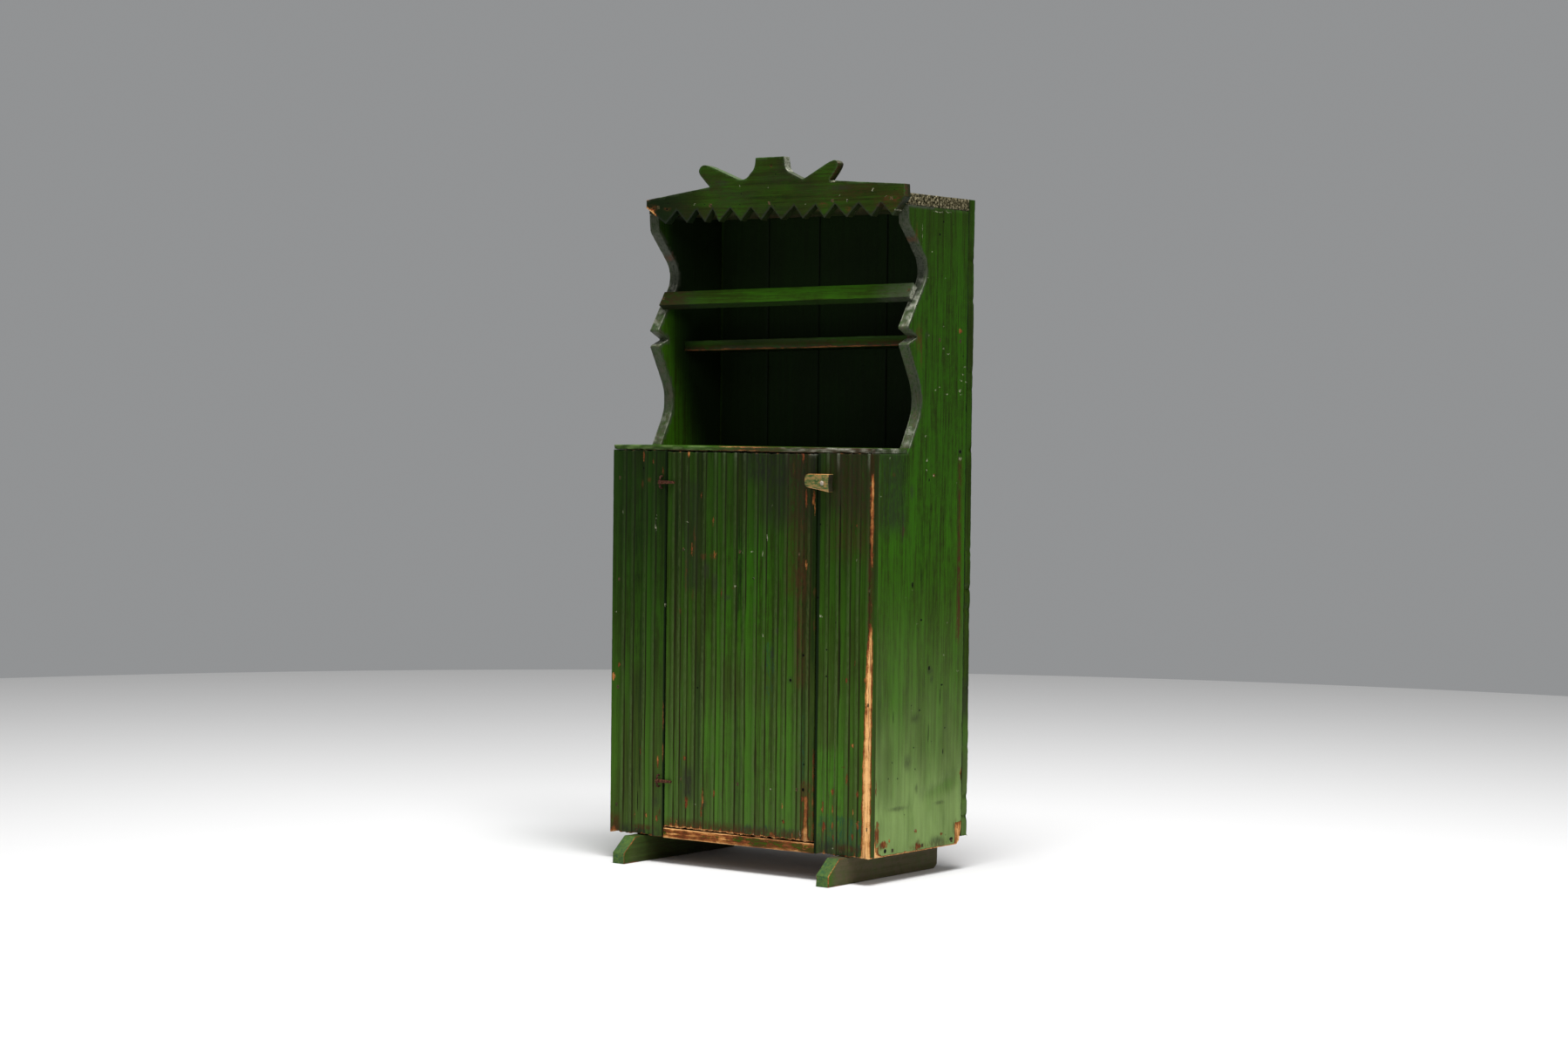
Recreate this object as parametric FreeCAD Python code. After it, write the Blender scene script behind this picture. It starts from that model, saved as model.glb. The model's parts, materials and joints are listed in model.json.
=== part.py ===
import FreeCAD, Part
import math
import os

# Painted country cupboard: a shallow plate rack over a cupboard with one fluted door,
# standing on two skid feet. Millimetres, +X to the right, +Y to the back, +Z up.
# All places are measured from the middle of the case, the front face of the fluted
# boards and the floor. Each finished piece is then moved so that the origin is on the
# floor under the middle of the whole cupboard.

# Overall sizes of the case
case_width = 650.0
case_depth = 349.0
counter_height = 851.0
rack_height = 501.0

# Board thicknesses
side_thickness = 24.0
front_thickness = 21.0
back_thickness = 23.0
top_thickness = 23.5
counter_thickness = 10.0
floor_thickness = 20.0
crest_thickness = 20.0
plate_shelf_thickness = 21.5
inner_shelf_thickness = 18.0
batten_thickness = 18.0
cleat_thickness = 20.0

# Skid feet
skid_height = 53.0
skid_width = 30.0
skid_nose_reach = 62.0
skid_nose_height = 22.0
skid_slope_run = 37.0
skid_tail_inset = 31.0
skid_heel_run = 12.0
skid_heel_rise = 8.0
left_skid_inset = 58.5
right_skid_inset = 51.0

# Door opening and clearances
left_stile_width = 139.5
right_stile_width = 131.0
hinge_side_gap = 3.0
free_side_gap = 3.5
door_top_gap = 2.5
door_bottom_gap = 1.5
door_stop_gap = 0.5
sill_end_gap = 0.4
moving_face_gap = 0.3
turning_fit = 0.05
back_board_gap = 1.2
counter_end_gap = 1.0
plate_shelf_end_gap = 0.05

# Fluting
flute_depth = 3.0
flute_depth_share = 0.12
ridge_land = 2.4
edge_land = 2.0
left_ridge_shares = [0.207, 0.371, 0.600, 0.771]
door_ridge_shares = [
    0.044, 0.084, 0.132, 0.191, 0.250, 0.327, 0.386, 0.463,
    0.525, 0.602, 0.663, 0.741, 0.800, 0.874, 0.906, 0.952,
]
right_ridge_shares = [0.183, 0.374, 0.580, 0.748, 0.924]
worn_corner_width = 15.0
worn_corner_height = 10.0

# Scalloped front edge of the upper sides: depths from the case's front face
crest_seat_depth = 108.0
shoulder_depth = 119.0
lower_bow_depth = 175.0
lower_nose_depth = 114.0
notch_depth = 147.0
upper_nose_depth = 112.0
upper_bow_depth = 190.0
top_nose_depth = 112.0

# Heights of the same corners, as shares of the side's height over the counter
lower_bow_share = 0.195
lower_nose_share = 0.429
notch_share = 0.459
upper_nose_share = 0.494
upper_bow_share = 0.746
top_nose_share = 0.924
lower_bow_radius = 87.0
upper_bow_radius = 46.0
nose_radius = 4.0
top_nose_radius = 12.0
notch_radius = 1.5
broken_corner_run = 16.0
broken_corner_rise = 32.0
broken_corner_bite = 7.0

# Crest
crest_left_inset = 8.0
crest_overhang = 7.0
crest_rise = 100.0
crest_valley_drop = 19.0
tooth_depth = 27.0
tooth_tip_shares = [
    0.079, 0.165, 0.237, 0.293, 0.379, 0.458, 0.536, 0.619, 0.700, 0.784, 0.875, 0.954,
]
tooth_valley_shares = [
    0.125, 0.203, 0.268, 0.337, 0.418, 0.496, 0.586, 0.666, 0.740, 0.827, 0.911,
]
# Upper outline from left to right: along the crest, up its rise, and corner radius over the rise
crest_top_shares = [
    (0.000, 0.070, 0.000),
    (0.000, 0.240, 0.020),
    (0.254, 0.450, 0.000),
    (0.202, 0.770, 0.060),
    (0.226, 0.950, 0.080),
    (0.387, 0.530, 0.250),
    (0.430, 0.780, 0.250),
    (0.434, 1.000, 0.010),
    (0.545, 1.000, 0.010),
    (0.552, 0.720, 0.180),
    (0.618, 0.520, 0.120),
    (0.740, 0.930, 0.080),
    (0.757, 0.790, 0.050),
    (0.718, 0.480, 0.000),
    (0.997, 0.350, 0.010),
    (1.000, 0.090, 0.000),
]

# Plate rail and shelves
rail_left_inset = 13.0
rail_right_inset = 13.0
rail_left_drop = 10.0
rail_width = 34.0
rail_thickness = 17.0
rail_slope_share = 0.56
plate_shelf_share = 0.411
plate_shelf_rise = 8.7
plate_shelf_front_depth = 198.0
inner_shelf_rise = 379.0
cleat_height = 26.0
cleat_front_gap = 20.0
cleat_back_gap = 15.0

# Back boards
back_lift = 13.6
back_joint_shares = [0.229, 0.431, 0.695]

# Door battens
batten_height = 60.0
batten_end_inset = 30.0
batten_bevel = 8.0
upper_batten_drop = 197.5
lower_batten_rise = 101.5

# Hinges: a staple in the stile and a strap with an eye that turns on it
hinge_pin_radius = 2.0
hinge_pin_inset = 13.5
hinge_face_gap = 0.5
hinge_eye_wall = 2.0
hinge_staple_height = 27.0
hinge_staple_depth = 15.0
hinge_staple_bend = 4.0
strap_height = 7.0
strap_end_height = 5.0
strap_thickness = 2.6
strap_door_reach = 18.0
strap_leg = 3.6
strap_clench = 9.0
upper_hinge_drop = 62.5
lower_hinge_rise = 93.5

# Turn button and the nail that it turns on
button_drop = 59.0
button_pivot_inset = 21.5
button_tail = 16.5
button_reach = 42.5
button_tail_height = 35.0
button_tip_height = 25.0
button_thickness = 16.6
button_tip_radius = 10.0
button_fishtail = 2.0
button_nail_radius = 2.4
button_nail_head_radius = 4.6
button_nail_head = 1.8
button_nail_bite = 16.0

# Square forged nails
nail_shank = 3.2
nail_head_width = 7.0
nail_head_height = 2.5
case_nail_length = 58.0
skid_nail_length = 48.0
cleat_nail_length = 37.0
batten_nail_length = 36.0
crest_nail_shares = [0.05, 0.26, 0.49, 0.73, 0.95]
top_nail_shares = [0.16, 0.55, 0.92]
shelf_nail_shares = [0.22, 0.80]
counter_nail_shares = [0.26, 0.74]
floor_nail_shares = [0.09, 0.48, 0.87]
stile_nail_shares = [0, 0.36, 0.69, 1]
back_nail_shares = [0.08, 0.35, 0.62, 0.90]
skid_nail_shares = [0.3, 0.94]
cleat_nail_shares = [0.12, 0.88]
batten_nail_hollows = [2, 8, 14]

# Places worked out from the sizes above
half_width = case_width / 2
side_inner = half_width - side_thickness
back_front_face = case_depth - back_thickness
case_height = counter_height + rack_height
side_top = case_height - top_thickness
counter_under = counter_height - counter_thickness
floor_top = skid_height + floor_thickness
stile_left_edge = left_stile_width - half_width
stile_right_edge = half_width - right_stile_width
door_left = stile_left_edge + hinge_side_gap
door_right = stile_right_edge - free_side_gap
door_bottom = floor_top + door_bottom_gap
door_top = counter_under - door_top_gap
door_width = door_right - door_left
crest_front = crest_seat_depth - crest_thickness
crest_left = crest_left_inset - half_width
crest_right = half_width + crest_overhang
crest_length = crest_right - crest_left
crest_valley = case_height - crest_valley_drop
plate_shelf_under = counter_height + plate_shelf_share * (side_top - counter_height)
inner_shelf_top = floor_top + inner_shelf_rise
upper_batten_middle = door_top - upper_batten_drop
lower_batten_middle = door_bottom + lower_batten_rise
upper_hinge_middle = door_top - upper_hinge_drop
lower_hinge_middle = door_bottom + lower_hinge_rise
hinge_eye_bore = hinge_pin_radius + turning_fit
hinge_eye_radius = hinge_eye_bore + hinge_eye_wall
hinge_x = stile_left_edge - hinge_pin_inset
hinge_y = -hinge_eye_radius - hinge_face_gap
button_x = stile_right_edge + button_pivot_inset
button_middle = counter_under - button_drop
button_back = -moving_face_gap
button_front = button_back - button_thickness
left_skid_x = left_skid_inset + skid_width / 2 - half_width
right_skid_x = half_width - right_skid_inset - skid_width / 2
whole_left = -half_width
whole_right = max(half_width, crest_right)
origin_shift = FreeCAD.Vector(
    -(whole_left + whole_right) / 2, -(case_depth - skid_nose_reach) / 2, 0
)


def at(x, y, z):
    return FreeCAD.Vector(x, y, z)


def slab(x0, x1, y0, y1, z0, z1):
    return Part.makeBox(x1 - x0, y1 - y0, z1 - z0, at(x0, y0, z0))


def rounded_wire(corners):
    """A closed outline of straight runs, with each (point, radius) corner rounded."""
    edges = []
    ends = []
    count = len(corners)
    for i, (corner, radius) in enumerate(corners):
        before = (corners[i - 1][0] - corner).normalize()
        after = (corners[(i + 1) % count][0] - corner).normalize()
        half_turn = before.getAngle(after) / 2
        if radius <= 0:
            ends.append((corner, corner))
            continue
        run = radius / math.tan(half_turn)
        middle = (before + after).normalize()
        bulge = radius / math.sin(half_turn) - radius
        start = corner + before * run
        end = corner + after * run
        edges.append(Part.Arc(start, corner + middle * bulge, end).toShape())
        ends.append((start, end))
    for i, (start, end) in enumerate(ends):
        following = ends[(i + 1) % count][0]
        edges.append(Part.makeLine(end, following))
    return Part.Wire(Part.__sortEdges__(edges))


def prism(wire, along):
    return Part.Face(wire).extrude(along)


def nail(head, direction, length):
    """A square shank under a four-sided head that is driven flush; its top is at head."""
    wide = nail_head_width / 2
    narrow = nail_shank / 2
    crown = Part.makeWedge(
        -wide, 0, -wide, -narrow, -narrow, wide, nail_head_height, wide, narrow, narrow
    )
    shank = slab(-narrow, narrow, nail_head_height, length, -narrow, narrow)
    whole = crown.fuse(shank)
    whole.Placement = FreeCAD.Placement(head, FreeCAD.Rotation(at(0, 1, 0), direction))
    return whole


def spread(low, high, shares):
    return [low + share * (high - low) for share in shares]


# Fluted front boards

def hollows(x0, x1, ridge_shares):
    """The (left, right, depth) of each hollow between the ridges of a board."""
    ridges = spread(x0, x1, ridge_shares)
    lefts = [x0 + edge_land] + [ridge + ridge_land / 2 for ridge in ridges]
    rights = [ridge - ridge_land / 2 for ridge in ridges] + [x1 - edge_land]
    return [(a, b, min(flute_depth, flute_depth_share * (b - a))) for a, b in zip(lefts, rights)]


def hollow_floor(x0, x1, ridge_shares, index):
    """The middle of one hollow, on its floor."""
    left, right, depth = hollows(x0, x1, ridge_shares)[index]
    return (left + right) / 2, depth


def fluted_board(x0, x1, z0, z1, ridge_shares):
    here = at(x0, 0, z0)
    edges = [Part.makeLine(at(x0, front_thickness, z0), here)]
    for left, right, depth in hollows(x0, x1, ridge_shares):
        start = at(left, 0, z0)
        end = at(right, 0, z0)
        edges.append(Part.makeLine(here, start))
        edges.append(Part.Arc(start, at((left + right) / 2, depth, z0), end).toShape())
        here = end
    edges.append(Part.makeLine(here, at(x1, 0, z0)))
    edges.append(Part.makeLine(at(x1, 0, z0), at(x1, front_thickness, z0)))
    edges.append(Part.makeLine(at(x1, front_thickness, z0), at(x0, front_thickness, z0)))
    return prism(Part.Wire(edges), at(0, 0, z1 - z0))


def left_stile():
    board = fluted_board(
        -half_width, stile_left_edge, skid_height, counter_under, left_ridge_shares
    )
    corner = Part.makePolygon([
        at(-half_width, 0, skid_height),
        at(-half_width + worn_corner_width, 0, skid_height),
        at(-half_width, 0, skid_height + worn_corner_height),
        at(-half_width, 0, skid_height),
    ])
    return board.cut(prism(corner, at(0, front_thickness, 0)))


def right_stile():
    return fluted_board(
        stile_right_edge, half_width, skid_height, counter_under, right_ridge_shares
    )


def door_board():
    return fluted_board(door_left, door_right, door_bottom, door_top, door_ridge_shares)


# Sides

def rack_height_at(share):
    return counter_height + share * (side_top - counter_height)


def side_board(x0, broken):
    """One side, from the skids' top to the top board, with its scalloped front edge."""
    foot = [(at(x0, back_front_face, skid_height), 0)]
    if broken:
        foot = [
            (at(x0, back_front_face, skid_height + broken_corner_rise), 0),
            (at(
                x0,
                back_front_face - broken_corner_bite,
                skid_height + broken_corner_bite,
            ), 0),
            (at(x0, back_front_face - broken_corner_run, skid_height), 0),
        ]
    corners = foot + [
        (at(x0, front_thickness, skid_height), 0),
        (at(x0, front_thickness, counter_under), 0),
        (at(x0, shoulder_depth, counter_under), 0),
        (at(x0, lower_bow_depth, rack_height_at(lower_bow_share)), lower_bow_radius),
        (at(x0, lower_nose_depth, rack_height_at(lower_nose_share)), nose_radius),
        (at(x0, notch_depth, rack_height_at(notch_share)), notch_radius),
        (at(x0, upper_nose_depth, rack_height_at(upper_nose_share)), nose_radius),
        (at(x0, upper_bow_depth, rack_height_at(upper_bow_share)), upper_bow_radius),
        (at(x0, top_nose_depth, rack_height_at(top_nose_share)), top_nose_radius),
        (at(x0, crest_seat_depth, side_top), 0),
        (at(x0, back_front_face, side_top), 0),
    ]
    return prism(rounded_wire(corners), at(side_thickness, 0, 0))


# Crest

def crest_board():
    def corner(along, up, radius):
        x = crest_left + along * crest_length
        z = crest_valley + up * crest_rise
        return at(x, crest_front, z), radius * crest_rise

    corners = [corner(*share) for share in crest_top_shares]
    teeth = [(share, crest_valley - tooth_depth) for share in tooth_tip_shares]
    teeth += [(share, crest_valley) for share in tooth_valley_shares]
    for share, z in sorted(teeth, reverse=True):
        corners.append((at(crest_left + share * crest_length, crest_front, z), 0))
    return prism(rounded_wire(corners), at(0, crest_thickness, 0))


# Shelves, counter, floor and back

def counter_board():
    """Covers the lower cupboard, with an ear over each side's shoulder."""
    ear_end = shoulder_depth - counter_end_gap
    outline = [
        (-half_width, 0), (half_width, 0), (half_width, ear_end), (side_inner, ear_end),
        (side_inner, back_front_face), (-side_inner, back_front_face),
        (-side_inner, ear_end), (-half_width, ear_end), (-half_width, 0),
    ]
    wire = Part.makePolygon([at(x, y, counter_under) for x, y in outline])
    return prism(wire, at(0, 0, counter_thickness))


def floor_board():
    """Between the sides, with a tongue that fills the sill between the stiles."""
    left = stile_left_edge + sill_end_gap
    right = stile_right_edge - sill_end_gap
    outline = [
        (left, 0), (right, 0), (right, front_thickness), (side_inner, front_thickness),
        (side_inner, back_front_face), (-side_inner, back_front_face),
        (-side_inner, front_thickness), (left, front_thickness), (left, 0),
    ]
    wire = Part.makePolygon([at(x, y, skid_height) for x, y in outline])
    return prism(wire, at(0, 0, floor_thickness))


def back_boards():
    joints = spread(-half_width, half_width, back_joint_shares)
    lefts = [-half_width] + [joint + back_board_gap / 2 for joint in joints]
    rights = [joint - back_board_gap / 2 for joint in joints] + [half_width]
    bottom = skid_height + back_lift
    return [
        slab(left, right, back_front_face, case_depth, bottom, case_height)
        for left, right in zip(lefts, rights)
    ]


def cleat(x0):
    top = inner_shelf_top - inner_shelf_thickness
    return slab(
        x0, x0 + cleat_thickness, front_thickness + cleat_front_gap,
        back_front_face - cleat_back_gap, top - cleat_height, top,
    )


def plate_shelf():
    """Set a little out of level, its right end higher by the shelf's rise. The lower end
    stops just short of the side, so that a board laid on the shelf clears the side too."""
    left_end = plate_shelf_end_gap - side_inner
    left = at(left_end, plate_shelf_front_depth, plate_shelf_under)
    right = at(side_inner, plate_shelf_front_depth, plate_shelf_under + plate_shelf_rise)
    up = at(0, 0, plate_shelf_thickness)
    wire = Part.makePolygon([left, right, right + up, left + up, left])
    return prism(wire, at(0, back_front_face - plate_shelf_front_depth, 0))


def rail_frame():
    """The middle of the rail's seat at its right end, the way up the slope and into the wood."""
    nose = at(0, upper_nose_depth, rack_height_at(upper_nose_share))
    bow = at(0, upper_bow_depth, rack_height_at(upper_bow_share))
    up_slope = (bow - nose).normalize()
    inward = up_slope.cross(at(1, 0, 0))
    return nose + (bow - nose) * rail_slope_share, up_slope, inward


def rail_run():
    """From the rail's left end to its right end; the left end lies lower on the slope."""
    length = case_width - rail_left_inset - rail_right_inset
    return at(length, 0, 0) + rail_frame()[1] * rail_left_drop


def plate_rail():
    seat, up_slope, inward = rail_frame()
    left = seat + at(half_width - rail_right_inset, 0, 0) - rail_run()
    low = left - up_slope * (rail_width / 2)
    high = left + up_slope * (rail_width / 2)
    out = inward * -rail_thickness
    wire = Part.makePolygon([low, high, high + out, low + out, low])
    return prism(wire, rail_run())


# Skids

def skid(x_middle):
    x0 = x_middle - skid_width / 2
    tail = case_depth - skid_tail_inset
    outline = [
        (-skid_nose_reach, 0), (-skid_nose_reach, skid_nose_height),
        (skid_slope_run - skid_nose_reach, skid_height), (tail, skid_height),
        (tail, skid_heel_rise), (tail - skid_heel_run, 0), (-skid_nose_reach, 0),
    ]
    wire = Part.makePolygon([at(x0, y, z) for y, z in outline])
    return prism(wire, at(skid_width, 0, 0))


# Door fittings

def batten(z_middle):
    """A ledge across the door's back, its long edges bevelled on the inside."""
    x0 = door_left + batten_end_inset
    y1 = front_thickness + batten_thickness
    outline = [
        (front_thickness, -batten_height / 2), (y1 - batten_bevel, -batten_height / 2),
        (y1, batten_bevel - batten_height / 2), (y1, batten_height / 2 - batten_bevel),
        (y1 - batten_bevel, batten_height / 2), (front_thickness, batten_height / 2),
        (front_thickness, -batten_height / 2),
    ]
    wire = Part.makePolygon([at(x0, y, z_middle + z) for y, z in outline])
    return prism(wire, at(door_width - 2 * batten_end_inset, 0, 0))


def hinge_staple(z_middle):
    """A bent wire staple: an upright pin in front of the stile and two legs in it."""
    half = hinge_staple_height / 2 - hinge_pin_radius
    straight = half - hinge_staple_bend
    leg_start = hinge_y + hinge_staple_bend
    leg_length = hinge_staple_depth - leg_start
    pin_low = at(hinge_x, hinge_y, z_middle - straight)
    pin = Part.makeCylinder(hinge_pin_radius, 2 * straight, pin_low)
    runs = []
    for side in (-1, 1):
        pin_end = at(hinge_x, hinge_y, z_middle + side * straight)
        section = Part.makeCircle(hinge_pin_radius, pin_end, at(0, 0, 1))
        bend_middle = at(hinge_x, leg_start, pin_end.z)
        face = Part.Face(Part.Wire(section))
        runs.append(face.revolve(bend_middle, at(-side, 0, 0), 90))
        leg_place = at(hinge_x, leg_start, z_middle + side * half)
        runs.append(
            Part.makeCylinder(hinge_pin_radius, leg_length, leg_place, at(0, 1, 0))
        )
    return pin.fuse(runs).removeSplitter()


def hinge_strap(z_middle):
    """An eye round the staple's pin, a tapered strap over the door and a clenched leg."""
    bottom = at(hinge_x, hinge_y, z_middle - strap_height / 2)
    eye = Part.makeCylinder(hinge_eye_radius, strap_height, bottom)
    back = hinge_y + hinge_eye_radius
    end = door_left + strap_door_reach
    strap_face = Part.makePolygon([
        at(hinge_x, back, z_middle - strap_height / 2),
        at(end, back, z_middle - strap_end_height / 2),
        at(end, back, z_middle + strap_end_height / 2),
        at(hinge_x, back, z_middle + strap_height / 2),
        at(hinge_x, back, z_middle - strap_height / 2),
    ])
    strap = prism(strap_face, at(0, -strap_thickness, 0))
    leg_low = z_middle - strap_leg / 2
    leg_high = z_middle + strap_leg / 2
    leg_end = front_thickness + strap_leg
    leg = slab(end - strap_leg, end, back, leg_end, leg_low, leg_high)
    clench = slab(
        end, end + strap_clench, front_thickness, leg_end, leg_low, leg_high
    )
    whole = eye.fuse([strap, leg, clench])
    bore = Part.makeCylinder(hinge_eye_bore, strap_height, bottom)
    return whole.cut(bore).removeSplitter()


def turn_button():
    """Round at the door's side, sawn with a slight fishtail at the other."""
    top = button_middle + button_tail_height / 2
    bottom = button_middle - button_tail_height / 2
    tail = button_x + button_tail
    tip = button_x - button_reach
    outline = [
        (tail, top, 0), (tail - button_fishtail, button_middle, 0), (tail, bottom, 0),
        (tip, top - button_tip_height, button_tip_radius), (tip, top, button_tip_radius),
    ]
    corners = [(at(x, button_front, z), radius) for x, z, radius in outline]
    block = prism(rounded_wire(corners), at(0, button_thickness, 0))
    bore = Part.makeCylinder(
        button_nail_radius + turning_fit, button_thickness,
        at(button_x, button_front, button_middle), at(0, 1, 0),
    )
    return block.cut(bore)


def button_nail():
    head_back = button_front - moving_face_gap
    base = at(button_x, head_back, button_middle)
    shank = Part.makeCylinder(
        button_nail_radius, button_nail_bite - head_back, base, at(0, 1, 0)
    )
    head = Part.makeCone(
        button_nail_head_radius, button_nail_radius, button_nail_head, base, at(0, -1, 0)
    )
    return shank.fuse(head)


# Nails, and the boards that each group is driven through

side_middle = half_width - side_thickness / 2
sides = ["side_board_left", "side_board_right"]
backs = ["back_board_left", "back_board_mid_left", "back_board_mid_right", "back_board_right"]


def crest_nails():
    z = case_height - top_thickness / 2
    return [
        nail(at(x, crest_front, z), at(0, 1, 0), case_nail_length)
        for x in spread(crest_left, crest_right, crest_nail_shares)
    ]


def top_nails():
    return [
        nail(at(x, y, case_height), at(0, 0, -1), case_nail_length)
        for x in (-side_middle, side_middle)
        for y in spread(crest_seat_depth, back_front_face, top_nail_shares)
    ]


def rail_nails():
    seat, up_slope, inward = rail_frame()
    run = rail_run()
    x = side_inner + side_thickness / 4
    heads = []
    for side in (-x, x):
        back_along = (half_width - rail_right_inset - side) / run.x
        end = seat + at(half_width - rail_right_inset, 0, 0)
        heads.append(end - run * back_along - inward * rail_thickness)
    return [nail(head, inward, case_nail_length) for head in heads]


def through_sides(left_z, right_z, depths):
    return [
        nail(at(side * half_width, y, z), at(-side, 0, 0), case_nail_length)
        for side, z in ((-1, left_z), (1, right_z))
        for y in depths
    ]


def plate_shelf_nails():
    depths = spread(plate_shelf_front_depth, back_front_face, shelf_nail_shares)
    left_z = plate_shelf_under + plate_shelf_thickness / 2
    return through_sides(left_z, left_z + plate_shelf_rise, depths)


def floor_nails():
    depths = spread(case_nail_length, back_front_face, floor_nail_shares)
    z = skid_height + floor_thickness / 2
    return through_sides(z, z, depths)


def counter_nails():
    depths = spread(front_thickness, shoulder_depth, counter_nail_shares)
    return [
        nail(at(x, y, counter_height), at(0, 0, -1), case_nail_length)
        for x in (-side_middle, side_middle)
        for y in depths
    ]


def stile_nails():
    """In the outermost hollows into the sides, clear of the nails in the counter's ears,
    and low down into the floor board."""
    left = (-half_width, stile_left_edge, left_ridge_shares)
    right = (stile_right_edge, half_width, right_ridge_shares)
    places = []
    low = skid_height + case_nail_length
    for z in spread(low, counter_under - case_nail_length, stile_nail_shares):
        places.append((hollow_floor(*left, 0), z))
        places.append((hollow_floor(*right, -1), z))
    for board, index in ((left, 2), (right, 2)):
        places.append((hollow_floor(*board, index), skid_height + floor_thickness / 2))
    return [nail(at(x, y, z), at(0, 1, 0), case_nail_length) for (x, y), z in places]


def back_nails():
    bottom = skid_height + back_lift
    joints = spread(-half_width, half_width, [0] + back_joint_shares + [1])
    places = [
        (x, z)
        for x in (-side_middle, side_middle)
        for z in spread(bottom, case_height, back_nail_shares)
    ]
    for left, right in zip(joints, joints[1:]):
        places.append(((left + right) / 2, case_height - top_thickness / 2))
        places.append(((left + right) / 2, (bottom + floor_top) / 2))
    return [nail(at(x, case_depth, z), at(0, -1, 0), case_nail_length) for x, z in places]


def skid_nails():
    depths = spread(case_nail_length, back_front_face - case_nail_length, skid_nail_shares)
    return [
        nail(at(x, y, floor_top), at(0, 0, -1), skid_nail_length)
        for x in (left_skid_x, right_skid_x)
        for y in depths
    ]


def cleat_nails():
    z = inner_shelf_top - inner_shelf_thickness - cleat_height / 2
    front = front_thickness + cleat_front_gap
    back = back_front_face - cleat_back_gap
    return [
        nail(at(side * (side_inner - cleat_thickness), y, z), at(side, 0, 0), cleat_nail_length)
        for side in (-1, 1)
        for y in spread(front, back, cleat_nail_shares)
    ]


def batten_nails():
    places = [
        hollow_floor(door_left, door_right, door_ridge_shares, index)
        for index in batten_nail_hollows
    ]
    return [
        nail(at(x, y, z), at(0, 1, 0), batten_nail_length)
        for x, y in places
        for z in (upper_batten_middle, lower_batten_middle)
    ]


nail_groups = {
    "crest_nails": (crest_nails(), ["crest_board", "top_board"]),
    "top_nails": (top_nails(), ["top_board"] + sides),
    "rail_nails": (rail_nails(), ["plate_rail"] + sides),
    "plate_shelf_nails": (plate_shelf_nails(), ["plate_shelf"] + sides),
    "floor_nails": (floor_nails(), ["floor_board"] + sides),
    "counter_nails": (counter_nails(), ["counter_board"] + sides),
    "stile_nails": (
        stile_nails(), ["front_stile_left", "front_stile_right", "floor_board"] + sides
    ),
    "back_nails": (back_nails(), ["top_board", "floor_board"] + backs + sides),
    "skid_nails": (skid_nails(), ["floor_board", "skid_left", "skid_right"]),
    "cleat_nails": (cleat_nails(), ["shelf_cleat_left", "shelf_cleat_right"] + sides),
    "batten_nails": (
        batten_nails(), ["door_board", "door_batten_upper", "door_batten_lower"]
    ),
}


# The pieces

parts = {
    "side_board_left": side_board(-half_width, False),
    "side_board_right": side_board(side_inner, True),
    "top_board": slab(
        -half_width, half_width, crest_seat_depth, back_front_face, side_top, case_height
    ),
    "crest_board": crest_board(),
    "plate_rail": plate_rail(),
    "plate_shelf": plate_shelf(),
    "counter_board": counter_board(),
    "floor_board": floor_board(),
    "inner_shelf": slab(
        -side_inner, side_inner, front_thickness + door_stop_gap, back_front_face,
        inner_shelf_top - inner_shelf_thickness, inner_shelf_top,
    ),
    "shelf_cleat_left": cleat(-side_inner),
    "shelf_cleat_right": cleat(side_inner - cleat_thickness),
    "front_stile_left": left_stile(),
    "front_stile_right": right_stile(),
    "skid_left": skid(left_skid_x),
    "skid_right": skid(right_skid_x),
    "door_board": door_board(),
    "door_batten_upper": batten(upper_batten_middle),
    "door_batten_lower": batten(lower_batten_middle),
    "hinge_staple_upper": hinge_staple(upper_hinge_middle),
    "hinge_staple_lower": hinge_staple(lower_hinge_middle),
    "hinge_strap_upper": hinge_strap(upper_hinge_middle),
    "hinge_strap_lower": hinge_strap(lower_hinge_middle),
    "turn_button": turn_button(),
    "button_nail": button_nail(),
}
parts.update(zip(backs, back_boards()))

# Holes for whatever is driven into the boards

for group, boards in nail_groups.values():
    for board in boards:
        parts[board] = parts[board].cut(group)
for height in ("upper", "lower"):
    stile = parts["front_stile_left"]
    parts["front_stile_left"] = stile.cut(parts["hinge_staple_" + height])
    parts["door_board"] = parts["door_board"].cut(parts["hinge_strap_" + height])
parts["front_stile_right"] = parts["front_stile_right"].cut(parts["button_nail"])
for name, (group, boards) in nail_groups.items():
    parts[name] = Part.makeCompound(group)

os.makedirs("parts", exist_ok=True)
for name, shape in parts.items():
    shape.translate(origin_shift)
    shape.exportStep("parts/" + name + ".step")
print(len(parts), "nodes; origin shift", origin_shift)
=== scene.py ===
import json
import math
from collections import namedtuple

import bpy
import numpy as np
from mathutils import Matrix, Vector, noise
from mathutils.geometry import delaunay_2d_cdt
from mathutils.kdtree import KDTree

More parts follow.
